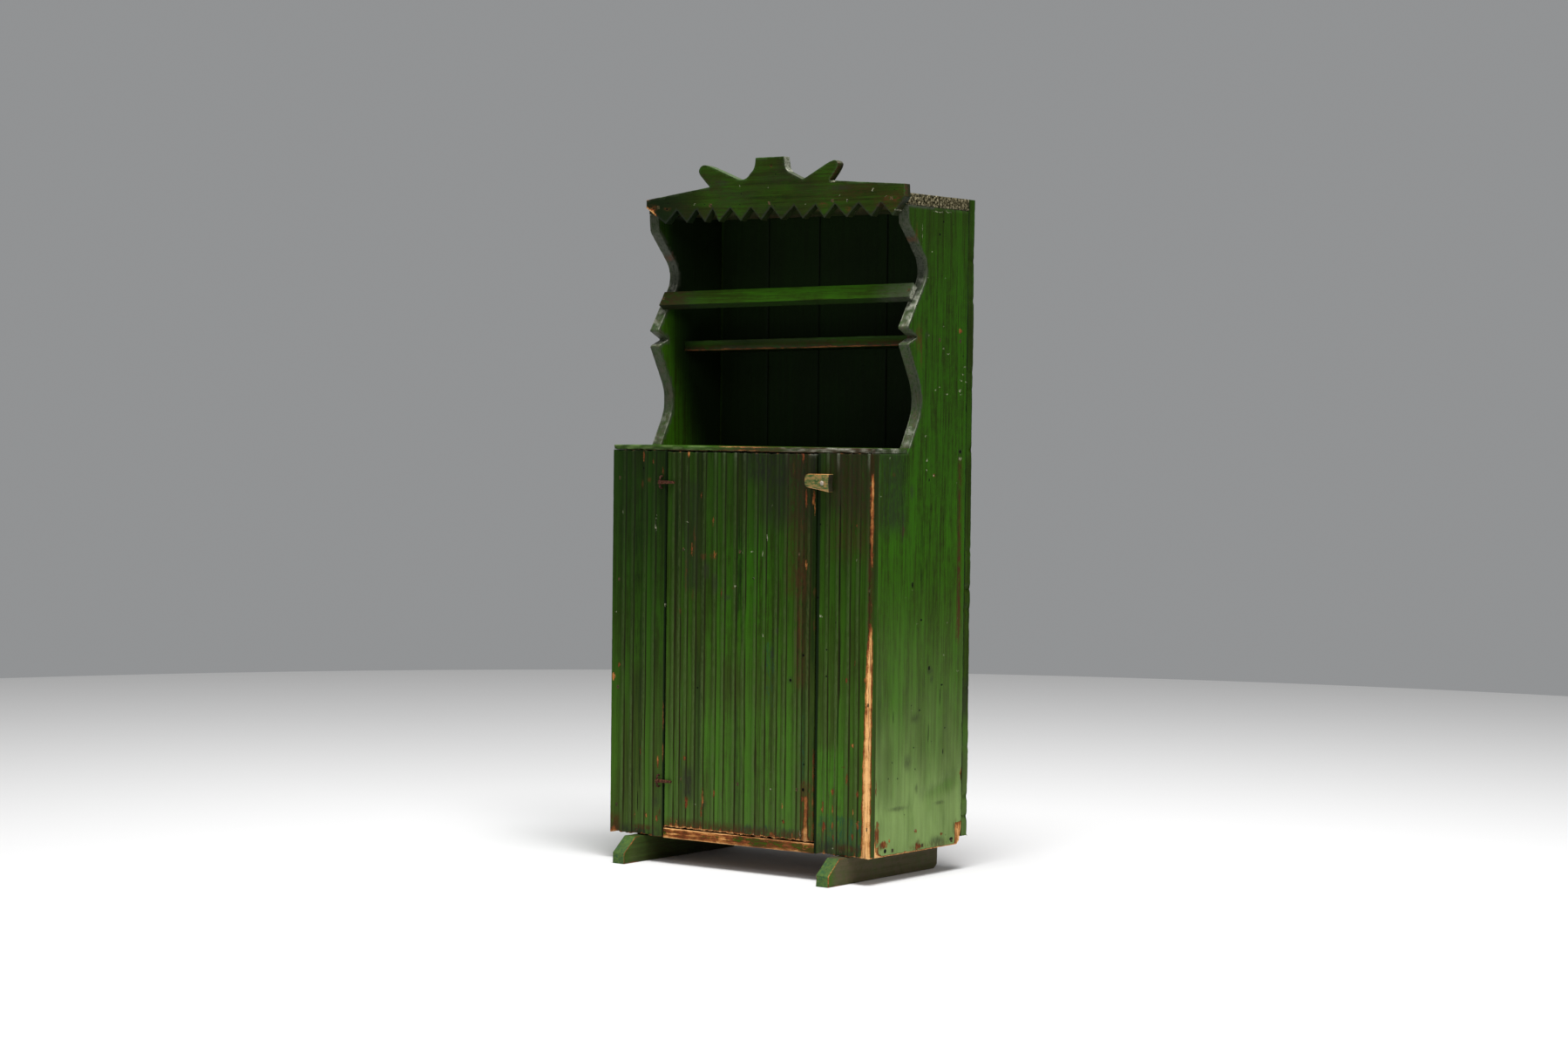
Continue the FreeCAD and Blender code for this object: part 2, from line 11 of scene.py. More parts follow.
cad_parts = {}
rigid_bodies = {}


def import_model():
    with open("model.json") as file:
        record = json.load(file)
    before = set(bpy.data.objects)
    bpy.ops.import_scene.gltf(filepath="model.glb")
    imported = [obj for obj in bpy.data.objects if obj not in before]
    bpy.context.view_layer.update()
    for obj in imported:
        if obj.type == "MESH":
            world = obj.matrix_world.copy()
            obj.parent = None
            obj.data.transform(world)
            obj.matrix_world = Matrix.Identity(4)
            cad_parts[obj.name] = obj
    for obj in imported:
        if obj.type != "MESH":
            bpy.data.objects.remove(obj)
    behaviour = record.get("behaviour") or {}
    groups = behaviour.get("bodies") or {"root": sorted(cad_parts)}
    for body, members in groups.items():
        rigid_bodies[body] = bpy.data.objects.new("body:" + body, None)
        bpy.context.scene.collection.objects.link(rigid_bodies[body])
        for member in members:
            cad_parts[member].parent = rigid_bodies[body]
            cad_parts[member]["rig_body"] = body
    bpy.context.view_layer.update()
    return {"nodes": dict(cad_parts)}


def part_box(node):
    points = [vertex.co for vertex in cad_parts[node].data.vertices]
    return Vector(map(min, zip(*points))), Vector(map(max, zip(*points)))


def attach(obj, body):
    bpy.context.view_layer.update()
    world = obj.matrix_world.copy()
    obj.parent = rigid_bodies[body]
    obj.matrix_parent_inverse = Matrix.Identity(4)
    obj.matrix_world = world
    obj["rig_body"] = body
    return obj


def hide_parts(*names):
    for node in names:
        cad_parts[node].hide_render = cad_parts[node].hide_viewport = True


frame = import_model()

# An old green cupboard with a plate rack. Metres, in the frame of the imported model. Places on
# the object are written in millimetres from the middle of its case, the front of its fluted
# boards and the floor, and case_mm() and from_case() change between the two.

MM = 0.001
left_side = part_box("side_board_left")
right_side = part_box("side_board_right")
CASE_MIDDLE = (left_side[0].x + right_side[1].x) / 2
CASE_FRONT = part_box("front_stile_left")[0].y
CASE_ORIGIN = np.array([CASE_MIDDLE, CASE_FRONT, 0.0])
COUNTER_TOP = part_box("counter_board")[1].z / MM
HALF_WIDTH = (right_side[1].x - CASE_MIDDLE) / MM
SIDE_INNER = (right_side[0].x - CASE_MIDDLE) / MM
BACK_FACE = (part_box("back_board_left")[1].y - CASE_FRONT) / MM
BACK_FRONT = (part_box("back_board_left")[0].y - CASE_FRONT) / MM
BEHIND_FRONT = (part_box("door_board")[1].y - CASE_FRONT) / MM - 0.8
BELOW_COUNTER = COUNTER_TOP - 12

# Points are matched to the nearest hundredth of a millimetre
STEPS_PER_METRE = 1e5
CLOSE = 1 / STEPS_PER_METRE
# Edges that turn less than this are shaded smooth
SMOOTH_BELOW = math.radians(38)


def case_mm(points):
    return (np.asarray(points) - CASE_ORIGIN) / MM


def from_case(x, y, z):
    return Vector(CASE_ORIGIN + np.array([x, y, z]) * MM)


def smooth(low, high, value):
    t = np.clip((value - low) / (high - low), 0, 1)
    return t * t * (3 - 2 * t)


def wander(points, scale, seed=0.0):
    """Smooth noise from -1 to 1 at points in millimetres; scale may differ by axis."""
    scaled = np.asarray(points) * scale + seed * 17.3
    return np.array([noise.noise(Vector(p)) for p in scaled])


def band(value, low, high, soft):
    return smooth(low - soft, low + soft, value) * (1 - smooth(high - soft, high + soft, value))


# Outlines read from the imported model

def outline(node, axis, at_high=False):
    """The outer loop of the node's flat end across an axis, as 2-D points in metres."""
    mesh = frame["nodes"][node].data
    co = np.array([v.co for v in mesh.vertices])
    level = co[:, axis].max() if at_high else co[:, axis].min()
    flat = np.abs(co[:, axis] - level) < CLOSE
    keys = [tuple(k) for k in np.round(np.delete(co, axis, 1) * STEPS_PER_METRE).astype(int)]
    ends = {}
    for polygon in mesh.polygons:
        if all(flat[i] for i in polygon.vertices):
            ring = [keys[i] for i in polygon.vertices]
            for a, b in zip(ring, ring[1:] + ring[:1]):
                if (b, a) in ends:
                    del ends[(b, a)]
                else:
                    ends[(a, b)] = True
    following = {a: b for a, b in ends}
    loops = []
    while following:
        start, here = following.popitem()
        loop = [start]
        while here != start:
            loop.append(here)
            here = following.pop(here)
        loops.append(np.array(loop) / STEPS_PER_METRE)
    best = max(loops, key=lambda points: abs(area(points)))
    return best if area(best) > 0 else best[::-1]


def area(loop):
    x, y = loop[:, 0], loop[:, 1]
    return 0.5 * np.sum(x * np.roll(y, -1) - np.roll(x, -1) * y)


def without_straights(loop, limit=math.radians(2)):
    """The loop without the points that lie on a straight run."""
    before = loop - np.roll(loop, 1, 0)
    after = np.roll(loop, -1, 0) - loop
    turn = np.abs(np.arctan2(
        before[:, 0] * after[:, 1] - before[:, 1] * after[:, 0], (before * after).sum(1)
    ))
    return loop[turn > limit]


def rounded(loop, radius, sharp=math.radians(18), steps=3):
    points = []
    count = len(loop)
    for i, here in enumerate(loop):
        to_last = loop[i - 1] - here
        to_next = loop[(i + 1) % count] - here
        last_length = np.linalg.norm(to_last)
        next_length = np.linalg.norm(to_next)
        cosine = np.dot(to_last, to_next) / (last_length * next_length)
        turn = math.pi - math.acos(np.clip(cosine, -1, 1))
        if turn < sharp or radius <= 0:
            points.append(here)
            continue
        cut = min(radius * math.tan(turn / 2), 0.4 * last_length, 0.4 * next_length)
        start = here + to_last / last_length * cut
        end = here + to_next / next_length * cut
        for t in np.linspace(0, 1, steps + 1):
            points.append((1 - t) ** 2 * start + 2 * t * (1 - t) * here + t * t * end)
    return np.array(points)


def divided(loop, step):
    points = []
    for here, following in zip(loop, np.roll(loop, -1, 0)):
        pieces = max(1, math.ceil(np.linalg.norm(following - here) / step))
        for k in range(pieces):
            points.append(here + (following - here) * k / pieces)
    return np.array(points)


def inward_normals(loop):
    """Unit normals to the inside of an anticlockwise loop."""
    along = np.roll(loop, -1, 0) - np.roll(loop, 1, 0)
    along /= np.linalg.norm(along, axis=1)[:, None] + 1e-12
    return np.stack([-along[:, 1], along[:, 0]], 1)


# Boards: an outline drawn along one axis, with worn arrises and ends filled by a fine net

def to_space(flat, along, axis):
    """Points from the outline's plane and their places along the axis."""
    return np.insert(flat, axis, along, axis=1)


def filled(loop, step):
    """A triangle net inside a loop: the added inner points, and faces over loop and points."""
    low, high = loop.min(0), loop.max(0)
    xs = np.arange(low[0] + step * 0.6, high[0], step)
    ys = np.arange(low[1] + step * 0.6, high[1], step)
    grid = np.stack(np.meshgrid(xs, ys, indexing="ij"), -1).reshape(-1, 2)
    tree = KDTree(len(loop))
    for i, (x, y) in enumerate(loop):
        tree.insert((x, y, 0), i)
    tree.balance()
    clear = [tree.find((x, y, 0))[2] > step * 0.45 for x, y in grid]
    grid = grid[np.array(clear, bool)]
    points = [Vector(p) for p in loop] + [Vector(p) for p in grid]
    ring = list(range(len(loop)))
    made, _, faces, sources, _, _ = delaunay_2d_cdt(points, [], [ring], 1, 1e-7)
    used = {j for face in faces for j in face}
    inner = [i for i in sorted(used) if not any(s < len(loop) for s in sources[i])]
    place = {i: len(loop) + k for k, i in enumerate(inner)}
    for i in used - set(inner):
        place[i] = min(s for s in sources[i] if s < len(loop))
    coordinates = np.array([made[i] for i in inner]).reshape(-1, 2)
    return coordinates, [[place[j] for j in face] for face in faces]


def drawn(loop, low, high, axis, arris, rows, cap_step, seed):
    """A board as (points, faces, arris share, wall share) from an outline in metres."""
    count = len(loop)
    inward = inward_normals(loop)
    middle = to_space(loop, np.full(count, low), axis) / MM
    chips = np.clip(wander(middle, 0.05, seed + 3) - 0.25, 0, 1) * 2.2
    rough = 0.75 + 0.45 * wander(middle, 0.02, seed) + chips
    bite = arris * np.clip(rough, 0.35, 2.6)
    levels = [(0, 1.0), (0.32, 0.32), (1.0, 0.0)]
    points, edge, wall = [], [], []

    def add(offset, along, edge_share):
        points.append(to_space(loop + inward * offset[:, None], along, axis))
        edge.append(np.full(count, edge_share))
        wall.append(np.ones(count))

    for along_share, in_share in levels:
        add(bite * in_share, low + bite * along_share, 1.0 if in_share else 0.55)
    for place in rows:
        add(np.zeros(count), np.full(count, place), 0.0)
    for along_share, in_share in reversed(levels):
        add(bite * in_share, high - bite * along_share, 1.0 if in_share else 0.55)
    faces = []
    rings = len(points)
    for r in range(rings - 1):
        for i in range(count):
            j = (i + 1) % count
            faces.append((r * count + i, r * count + j, (r + 1) * count + j, (r + 1) * count + i))
    cap_loop = loop + inward * bite[:, None]
    inner, net = filled(cap_loop, cap_step)
    for ring, along, turned in ((0, low, True), (rings - 1, high, False)):
        start = sum(len(p) for p in points)
        points.append(to_space(inner, np.full(len(inner), along), axis))
        edge.append(np.zeros(len(inner)))
        wall.append(np.zeros(len(inner)))
        for face in net:
            ids = [ring * count + j if j < count else start + j - count for j in face]
            faces.append(tuple(reversed(ids)) if turned else tuple(ids))
    if axis == 1:
        faces = [tuple(reversed(face)) for face in faces]
    return np.concatenate(points), faces, np.concatenate(edge), np.concatenate(wall)


def face_normals_at(points, faces):
    """Unit normals at the points, from the faces round them."""
    normals = np.zeros_like(points)
    for sides in sorted({len(face) for face in faces}):
        ids = np.array([face for face in faces if len(face) == sides])
        a, b, c = (points[ids[:, k]] for k in range(3))
        normal = np.cross(b - a, c - a)
        for k in range(sides):
            np.add.at(normals, ids[:, k], normal)
    return normals / (np.linalg.norm(normals, axis=1)[:, None] + 1e-15)


def make_piece(node, points, faces, shares):
    """A mesh that stands for a node, with its shares stored for the material."""
    name = node + "_worn"
    body = frame["nodes"][node]["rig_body"]
    mesh = bpy.data.meshes.new(name)
    mesh.from_pydata([tuple(p) for p in points], [], faces)
    mesh.validate()
    mesh.update()
    for polygon in mesh.polygons:
        polygon.use_smooth = True
    mesh.set_sharp_from_angle(angle=SMOOTH_BELOW)
    for key, values in shares.items():
        values = np.clip(np.full(len(points), values), 0, 1).astype(np.float32)
        mesh.attributes.new(key, "FLOAT", "POINT").data.foreach_set("value", values)
    piece = bpy.data.objects.new(name, mesh)
    bpy.context.scene.collection.objects.link(piece)
    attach(piece, body)
    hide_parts(node)
    return piece


# Node trees

class Value:
    """What a shader node gives, so that sums can be written out."""

    def __init__(self, tree, node, output=0):
        self.tree = tree
        self.socket = node.outputs[output]

    def __add__(self, other):
        return self.tree.math("ADD", self, other)

    def __radd__(self, other):
        return self.tree.math("ADD", other, self)

    def __sub__(self, number):
        return self + -number

    def __rsub__(self, other):
        return self.tree.math("SUBTRACT", other, self)

    def __mul__(self, other):
        return self.tree.math("MULTIPLY", self, other)


class Tree:
    """Short forms for the shader nodes used here."""

    def __init__(self, name):
        self.material = bpy.data.materials.new(name)
        self.material.use_nodes = True
        self.nodes = self.material.node_tree.nodes
        self.links = self.material.node_tree.links
        self.shader = self.nodes["Principled BSDF"]
        self.place = self.nodes.new("ShaderNodeTexCoord").outputs["Object"]

    def put(self, socket, value):
        value = getattr(value, "socket", value)
        if isinstance(value, bpy.types.NodeSocket):
            self.links.new(value, socket)
        elif socket.type == "RGBA":
            socket.default_value = (*value, 1)
        else:
            socket.default_value = value

    def node(self, kind, inputs, **settings):
        """A new node, with its inputs given by name or number."""
        node = self.nodes.new("ShaderNode" + kind)
        for key, value in settings.items():
            setattr(node, key, value)
        for key, value in inputs.items():
            self.put(node.inputs[key], value)
        return node

    def math(self, operation, a, b, clamp=False):
        return Value(self, self.node("Math", {0: a, 1: b}, operation=operation, use_clamp=clamp))

    def vector_math(self, operation, *values, output=0):
        node = self.node("VectorMath", dict(enumerate(values)), operation=operation)
        return Value(self, node, output)

    def step(self, value, low, high, to_low=0.0, to_high=1.0):
        return Value(self, self.node("MapRange", {
            "Value": value, "From Min": low, "From Max": high, "To Min": to_low, "To Max": to_high,
        }, interpolation_type="SMOOTHSTEP"), "Result")

    def scaled(self, scale, shift=(0, 0, 0)):
        inputs = {"Vector": self.place, "Scale": scale, "Location": shift}
        return Value(self, self.node("Mapping", inputs))

    def noise(self, vector, scale, detail, roughness, distortion=0.0, output="Fac"):
        return Value(self, self.node("TexNoise", {
            "Vector": vector, "Scale": scale, "Detail": detail, "Roughness": roughness,
            "Distortion": distortion,
        }), output)

    def cells(self, vector, scale):
        """How far a place is from the middle of its cell, and a random number for the cell."""
        node = self.node("TexVoronoi", {"Vector": vector, "Scale": scale})
        return Value(self, node, "Distance"), Value(self, node, "Color")

    def dots(self, vector, scale, rim, heart, rarity):
        """Round dots in some of the cells."""
        distance, chosen = self.cells(vector, scale)
        return self.step(distance, rim, heart) * self.math("GREATER_THAN", chosen, rarity)

    def share(self, name):
        return Value(self, self.node("Attribute", {}, attribute_name=name), "Fac")

    def broken(self, grain_axis, amount):
        """The place, pushed about by fine noise that is longer along the grain."""
        push = self.noise(self.scaled(drawn_out(grain_axis, 0.3)), 420, 3, 0.5, output="Color")
        moved = self.vector_math("MULTIPLY_ADD", push, (amount * MM,) * 3, self.place)
        return self.vector_math("SUBTRACT", moved, (amount * MM / 2,) * 3)

    def spots(self, place, across, ovals):
        """1 in the middle of each (across, up, half width, half height) oval in mm, 0 at its edge."""
        nearest = None
        for along, up, half_along, half_up in ovals:
            scale = [0.0, 0.0, 1 / (half_up * MM)]
            scale[across] = 1 / (half_along * MM)
            shift = [-middle * by for middle, by in zip(from_case(along, along, up), scale)]
            moved = self.vector_math("MULTIPLY_ADD", place, scale, shift)
            away = self.vector_math("LENGTH", moved, output="Value")
            nearest = away if nearest is None else self.math("MINIMUM", nearest, away)
        return self.math("SUBTRACT", 1.0, nearest, clamp=True)

    def coats(self, colour, *coats):
        """A colour under coats of (colour, amount), the last on top."""
        for over, amount in coats:
            inputs = {"Factor": amount, 6: colour, 7: over}
            colour = Value(self, self.node("Mix", inputs, data_type="RGBA"), 2)
        return colour

    def ramp(self, value, stops):
        node = self.node("ValToRGB", {0: value})
        elements = node.color_ramp.elements
        while len(elements) < len(stops):
            elements.new(0.5)
        for element, (place, colour) in zip(elements, stops):
            element.position = place
            element.color = (*colour, 1)
        return Value(self, node)

    def finish(self, colour, roughness, height, bump_distance, specular=0.3):
        bump = self.node("Bump", {"Distance": bump_distance, "Height": height})
        for name, value in (
            ("Base Color", colour), ("Roughness", roughness), ("Normal", bump.outputs[0]),
            ("Specular IOR Level", specular),
        ):
            self.put(self.shader.inputs[name], value)
        return self.material


# Colours

BLACK_GREEN = (0.006, 0.012, 0.004)
DARK_GREEN = (0.011, 0.028, 0.002)
MOSS_GREEN = (0.028, 0.062, 0.004)
GRASS_GREEN = (0.036, 0.110, 0.005)
BRIGHT_GREEN = (0.040, 0.165, 0.004)
OLIVE_GREEN = (0.026, 0.046, 0.003)
PALE_GREY = (0.370, 0.375, 0.300)
AGED_RAW = (0.130, 0.050, 0.017)
SAGE_GREEN = (0.230, 0.340, 0.110)
RIDGE_GREEN = (0.076, 0.118, 0.034)
TEAL_GREEN = (0.022, 0.078, 0.040)
GRIME_AND_SHADE = (0.026, 0.024, 0.018)
GROOVE_DIRT_AND_SHADE = (0.016, 0.012, 0.004)
UMBER = (0.070, 0.028, 0.010)
RAW_RED = (0.150, 0.038, 0.014)
RAW_ORANGE = (0.500, 0.200, 0.050)
RAW_CREAM = (0.860, 0.490, 0.195)
AGED_PINE = (0.210, 0.125, 0.062)
AGED_PINE_DARK = (0.090, 0.052, 0.028)
BONE = (0.440, 0.430, 0.310)
DUST = (0.110, 0.088, 0.052)
KNOT = (0.034, 0.017, 0.009)
DAMP = (0.052, 0.036, 0.024)

HOLE = (0.003, 0.003, 0.002)
END_GRAIN = [(0.45, (0.010, 0.010, 0.004)), (0.53, (0.085, 0.075, 0.036)), (0.61, (0.44, 0.38, 0.24))]
BUTTON = [(0.42, (0.030, 0.066, 0.010)), (0.50, (0.110, 0.125, 0.028)), (0.58, (0.270, 0.160, 0.050))]
BUTTON_END = (0.012, 0.012, 0.008)
RUST_DARK = (0.032, 0.012, 0.008)
RUST_LIGHT = (0.230, 0.090, 0.045)

# Scale of the grain's textures along the grain, against 1 across it
GRAIN_STRETCH = 0.035


def drawn_out(axis, along, across=1.0):
    """A texture scale with its own value along one axis."""
    scale = [across] * 3
    scale[axis] = along
    return tuple(scale)


def bare_wood(tree, grain, fine, depth=0.5):
    """Colour of wood with no paint on it, red-brown where it just shows, cream in the middle."""
    rings = tree.noise(grain, 330, 3, 0.6, 0.6)
    cloud = tree.noise(tree.place, 28, 3, 0.6)
    tone = rings * 0.45 + fine * 0.2 + cloud * 0.35 + depth * 0.24 - 0.12
    return tree.ramp(tone, [(0.39, RAW_RED), (0.46, RAW_ORANGE), (0.58, RAW_CREAM)])


def old_pine(tree, axis, streak, fine):
    """Colour of pine that was never painted: its grain, knots, saw marks and old damp."""
    distance, chosen = tree.cells(tree.scaled(drawn_out(axis, 0.7), (5, 2, 7)), 10)
    has_knot = tree.math("GREATER_THAN", chosen, 0.47)
    ring = tree.step(distance, 0.36, 0.16) * has_knot
    knot = tree.step(distance + fine * 0.07, 0.22, 0.14) * has_knot
    teeth = tree.noise(tree.scaled(drawn_out(axis, 1.0, 0.04)), 240, 3, 0.7)
    damp = tree.noise(tree.place, 4.5, 5, 0.62, 0.4)
    return tree.coats(
        tree.ramp(streak + ring * -0.12, [(0.33, AGED_PINE_DARK), (0.62, AGED_PINE)]),
        (DAMP, tree.step(damp, 0.46, 0.68, 0.0, 0.6)),
        (AGED_PINE_DARK, tree.step(teeth, 0.52, 0.70, 0.0, 0.25)),
        (KNOT, knot * tree.step(distance, 0.0, 0.09, 0.35, 1.0)),
    )


def painted(name, axis, seed, across=0, marks=None):
    """Old half-gloss green paint on planed pine, with its wear, painted shade and painted highlights
    placed by the mesh's shares.
    """
    tree = Tree(name)
    share, step = tree.share, tree.step
    grain = tree.scaled(drawn_out(axis, GRAIN_STRETCH), (seed, seed * 2, seed * 3))
    streak = tree.noise(grain, 130, 5, 0.62, 0.3)
    fibre = tree.noise(grain, 420, 3, 0.7)
    fine = tree.noise(tree.place, 900, 3, 0.6)
    cloud = tree.noise(tree.scaled((1, 1, 0.5), (seed, 0, 0)), 6, 3, 0.5)
    mottle = tree.noise(tree.place, 60, 5, 0.65)
    crumble = tree.noise(tree.scaled(drawn_out(axis, 0.3), (0, seed, 0)), 230, 6, 0.7)

    # Paint and dirt, with painted shade and painted highlights
    tone = streak * 0.36 + fibre * 0.22 + cloud * 0.14 + mottle * 0.08 + share("tone") * 0.20
    colour = tree.coats(
        tree.ramp(tone, [
            (0.39, DARK_GREEN), (0.45, OLIVE_GREEN), (0.50, MOSS_GREEN), (0.57, GRASS_GREEN),
        ]),
        (BRIGHT_GREEN, share("bright") * step(streak + fibre + mottle * 0.5, 1.0, 1.45)),
        (SAGE_GREEN, share("sage") * step(streak + fine, 0.75, 1.2, 0.7, 1.0)),
        (TEAL_GREEN, step(share("teal") + crumble * 0.8, 0.72, 0.92) * 0.85),
        # Ridges paler and the bands beside them darker: worn paint and dirt, with painted highlight and
        # painted shade
        (RIDGE_GREEN, share("ridge") * step(crumble, 0.38, 0.62, 0.2, 0.9)),
        (GROOVE_DIRT_AND_SHADE, share("groove")),
        # Greyed by grime, and by painted shade on the plate rail's lower faces
        (GRIME_AND_SHADE, share("grime_and_shade") * step(streak + crumble, 0.7, 1.15)),
        (UMBER, share("brown") * step(crumble, 0.36, 0.56)),
        (DUST, share("dust") * step(streak + mottle, 0.8, 1.2, 0.5, 1.0)),
        # Blackened where the shares put painted shade (in the rack, on lower faces, beside the door) and
        # soot
        (BLACK_GREEN, share("shade_and_soot")),
        # Paler where the shares put worn paint, and painted highlights on edges and ends that face the
        # light
        (PALE_GREY, share("pale") * step(crumble + fine, 0.8, 1.05)),
        (BLACK_GREEN, step(fine, 0.60, 0.70, 0.0, 0.55)),
    )

    # Bare wood, and the single marks
    wear = share("edge") * 0.40 + share("raw") + (crumble * 0.75 + fine * 0.45)
    bare = step(wear, 1.13, 1.19)
    sliver = tree.noise(tree.scaled(drawn_out(axis, GRAIN_STRETCH), (0, 0, seed)), 260, 4, 0.7, 0.5)
    wood = tree.coats(
        bare_wood(tree, grain, fine, step(wear, 1.18, 1.72)),
        (AGED_RAW, share("aged") * step(crumble, 0.3, 0.6, 1.0, 0.6)),
        (RAW_RED, step(sliver, 0.54, 0.64, 0.0, 0.8)),
    )
    worm = pit = tree.dots(tree.scaled((1, 1, 1), (3, 1, 2)), 55, 0.075, 0.05, 0.80)
    if marks:
        place = tree.broken(axis, 9.0)
        marked = 1.0 - share("unmarked")
        brown, dark, raw, pale = (
            tree.spots(place, across, marks[kind]) * marked for kind in ("brown", "dark", "raw", "pale")
        )
        ragged_edge = (crumble + fine * 0.5 - 0.75) * 3.2
        near_raw = step(raw, 0.0, 0.08)
        flake = step(raw + ragged_edge, 0.22, 0.34) * near_raw
        rim = step(raw + ragged_edge, 0.02, 0.2) * near_raw
        fleck = step(pale + ragged_edge, 0.50, 0.70) * step(pale, 0.0, 0.08, 0.0, 0.65)
        hole = step(tree.spots(tree.place, across, marks["hole"]) * marked, 0.05, 0.25)
        bare = tree.math("MAXIMUM", bare, flake * 0.9)
        pit = tree.math("MAXIMUM", worm, hole)
        colour = tree.coats(
            colour,
            (UMBER, step(brown, 0.0, 0.8, 0.0, 0.8) * step(crumble, 0.35, 0.6)),
            (GRIME_AND_SHADE, step(dark, 0.0, 0.9, 0.0, 0.55) * step(crumble, 0.3, 0.6, 0.4, 1.0)),
            (UMBER, rim * 0.7),
            (wood, bare),
            (BONE, fleck),
            (HOLE, hole),
        )
    else:
        colour = tree.coats(colour, (wood, bare))

    inside = step(share("inside") + crumble * 0.3, 0.6, 0.75)
    colour = tree.coats(
        colour,
        (tree.ramp(tree.noise(tree.place, 165, 5, 0.85), END_GRAIN), share("endgrain")),
        (old_pine(tree, axis, streak, fine), inside),
        (BLACK_GREEN, share("gap")),
        (BONE, tree.dots(tree.scaled((1, 1, 0.6)), 80, 0.07, 0.04, 0.90) * 0.4),
        (HOLE, worm),
    )
    roughness = step(mottle, 0.3, 0.7, 0.34, 0.50) + bare * 0.3 + inside * 0.3 + share("grime_and_shade") * 0.08
    rasp = tree.noise(tree.scaled((0.08, 1, 1)), 330, 3, 0.6) * share("gloss")
    height = fine * 0.3 + fibre * 0.5 + streak * 0.8 + bare * -0.6 + pit * -2.5
    height = height + mottle * 0.3 + rasp * 3.0
    specular = 0.028 + (share("gloss") * 0.16 + share("edge") * 0.12)
    return tree.finish(colour, roughness, height, 0.8 * MM, specular)


def bare_pine(name, axis, seed):
    tree = Tree(name)
    grain = tree.scaled(drawn_out(axis, GRAIN_STRETCH), (seed, seed, seed))
    streak = tree.noise(grain, 90, 4, 0.6, 0.8)
    fine = tree.noise(grain, 620, 4, 0.65)
    stain = tree.noise(tree.place, 9, 4, 0.6)
    colour = tree.coats(
        old_pine(tree, axis, streak * 0.6 + fine * 0.2 + stain * 0.2, fine),
        (AGED_PINE_DARK, tree.share("edge") * 0.5),
    )
    roughness = tree.step(stain, 0.3, 0.7, 0.55, 0.75)
    return tree.finish(colour, roughness, streak * 0.8 + fine * 0.5, 0.6 * MM)


def button_paint(name):
    """Ochre and green worn thin, with bare arrises and a dark end."""
    tree = Tree(name)
    grain = tree.scaled(drawn_out(0, GRAIN_STRETCH), (2, 4, 6))
    fine = tree.noise(tree.place, 900, 3, 0.6)
    crumble = tree.noise(tree.scaled((0.4, 1, 1)), 260, 5, 0.7)
    bare = tree.step(tree.share("raw") + crumble * 0.7 + fine * 0.3, 0.95, 1.1)
    colour = tree.coats(
        tree.ramp(crumble, BUTTON),
        (bare_wood(tree, grain, fine), bare),
        (BUTTON_END, tree.share("grime_and_shade")),
    )
    return tree.finish(colour, 0.48, crumble + fine * 0.4, 0.7 * MM)


def iron(name, tint):
    tree = Tree(name)
    rust = tree.noise(tree.place, 420, 5, 0.7)
    colour = tree.ramp(rust, [(0.35, RUST_DARK), (0.52, tint), (0.68, RUST_LIGHT)])
    return tree.finish(colour, 0.66, rust, 0.6 * MM, specular=0.1)


# The boards: axis of the outline, axis of the grain, and how they are worn, in mm

Board = namedtuple(
    "Board", "axis grain arris corner step cap_step ragged high",
    defaults=(1.3, 1.2, 7.0, 8.0, 0.35, False),
)
BOARDS = {
    "side_board_left": Board(0, 2, step=3.5, cap_step=9.0, ragged=0.6, high=True),
    "side_board_right": Board(0, 2, step=3.5, cap_step=5.0, ragged=0.6),
    "top_board": Board(2, 0),
    "crest_board": Board(1, 0, arris=1.2, corner=0.8, step=3.0, cap_step=5.0, ragged=0.5),
    "plate_rail": Board(0, 0, arris=0.9, corner=0.7, step=4.0, cap_step=4.0),
    "plate_shelf": Board(1, 0, arris=2.0, step=5.0, ragged=0.8),
    "counter_board": Board(2, 0, arris=1.8, step=5.0, ragged=0.9),
    "floor_board": Board(2, 0, high=True),
    "inner_shelf": Board(2, 0),
    "shelf_cleat_left": Board(0, 1, high=True),
    "shelf_cleat_right": Board(0, 1),
    "skid_left": Board(0, 1, arris=1.6, corner=1.5, step=5.0, cap_step=5.0),
    "skid_right": Board(0, 1, arris=1.6, corner=1.5, step=5.0, cap_step=5.0),
    "back_board_left": Board(1, 2, step=5.0, ragged=0.6),
    "back_board_mid_left": Board(1, 2),
    "back_board_mid_right": Board(1, 2),
    "back_board_right": Board(1, 2, step=5.0, ragged=0.6),
    "door_batten_upper": Board(0, 0),
    "door_batten_lower": Board(0, 0),
    "turn_button": Board(1, 0, arris=2.2, corner=1.5, step=2.0, cap_step=2.5, ragged=0.3),
}


# Only the horns reach above this height this far from the middle
HORN_FOOT = 1382.0
HORN_INNER = 85.0
PLATE_SHELF_THICKNESS = 21.5


def rows_between(low, high, arris, step):
    inner_low, inner_high = low + 3 * arris, high - 3 * arris
    count = max(1, round((inner_high - inner_low) / step))
    return np.linspace(inner_low, inner_high, count + 1)


def shape_board(node, board, seed):
    low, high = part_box(node)
    corners = without_straights(outline(node, board.axis, board.high))
    loop = divided(rounded(corners, board.corner * MM), board.step * MM)
    if node == "crest_board":
        loop = blunted(loop, HORN_FOOT * MM, HORN_INNER * MM)
    rows = rows_between(low[board.axis], high[board.axis], board.arris * MM, board.step * 1.5 * MM)
    points, faces, edge, wall = drawn(
        loop, low[board.axis], high[board.axis], board.axis, board.arris * MM, rows,
        board.cap_step * MM, seed,
    )
    if node == "plate_rail":
        lean = without_straights(outline(node, 0, True)).mean(0) - corners.mean(0)
        along = (points[:, 0] - low.x) / (high.x - low.x)
        points[:, 1:] += along[:, None] * lean
    return ragged(node, points, faces, wall, board.ragged, seed), faces, edge, wall


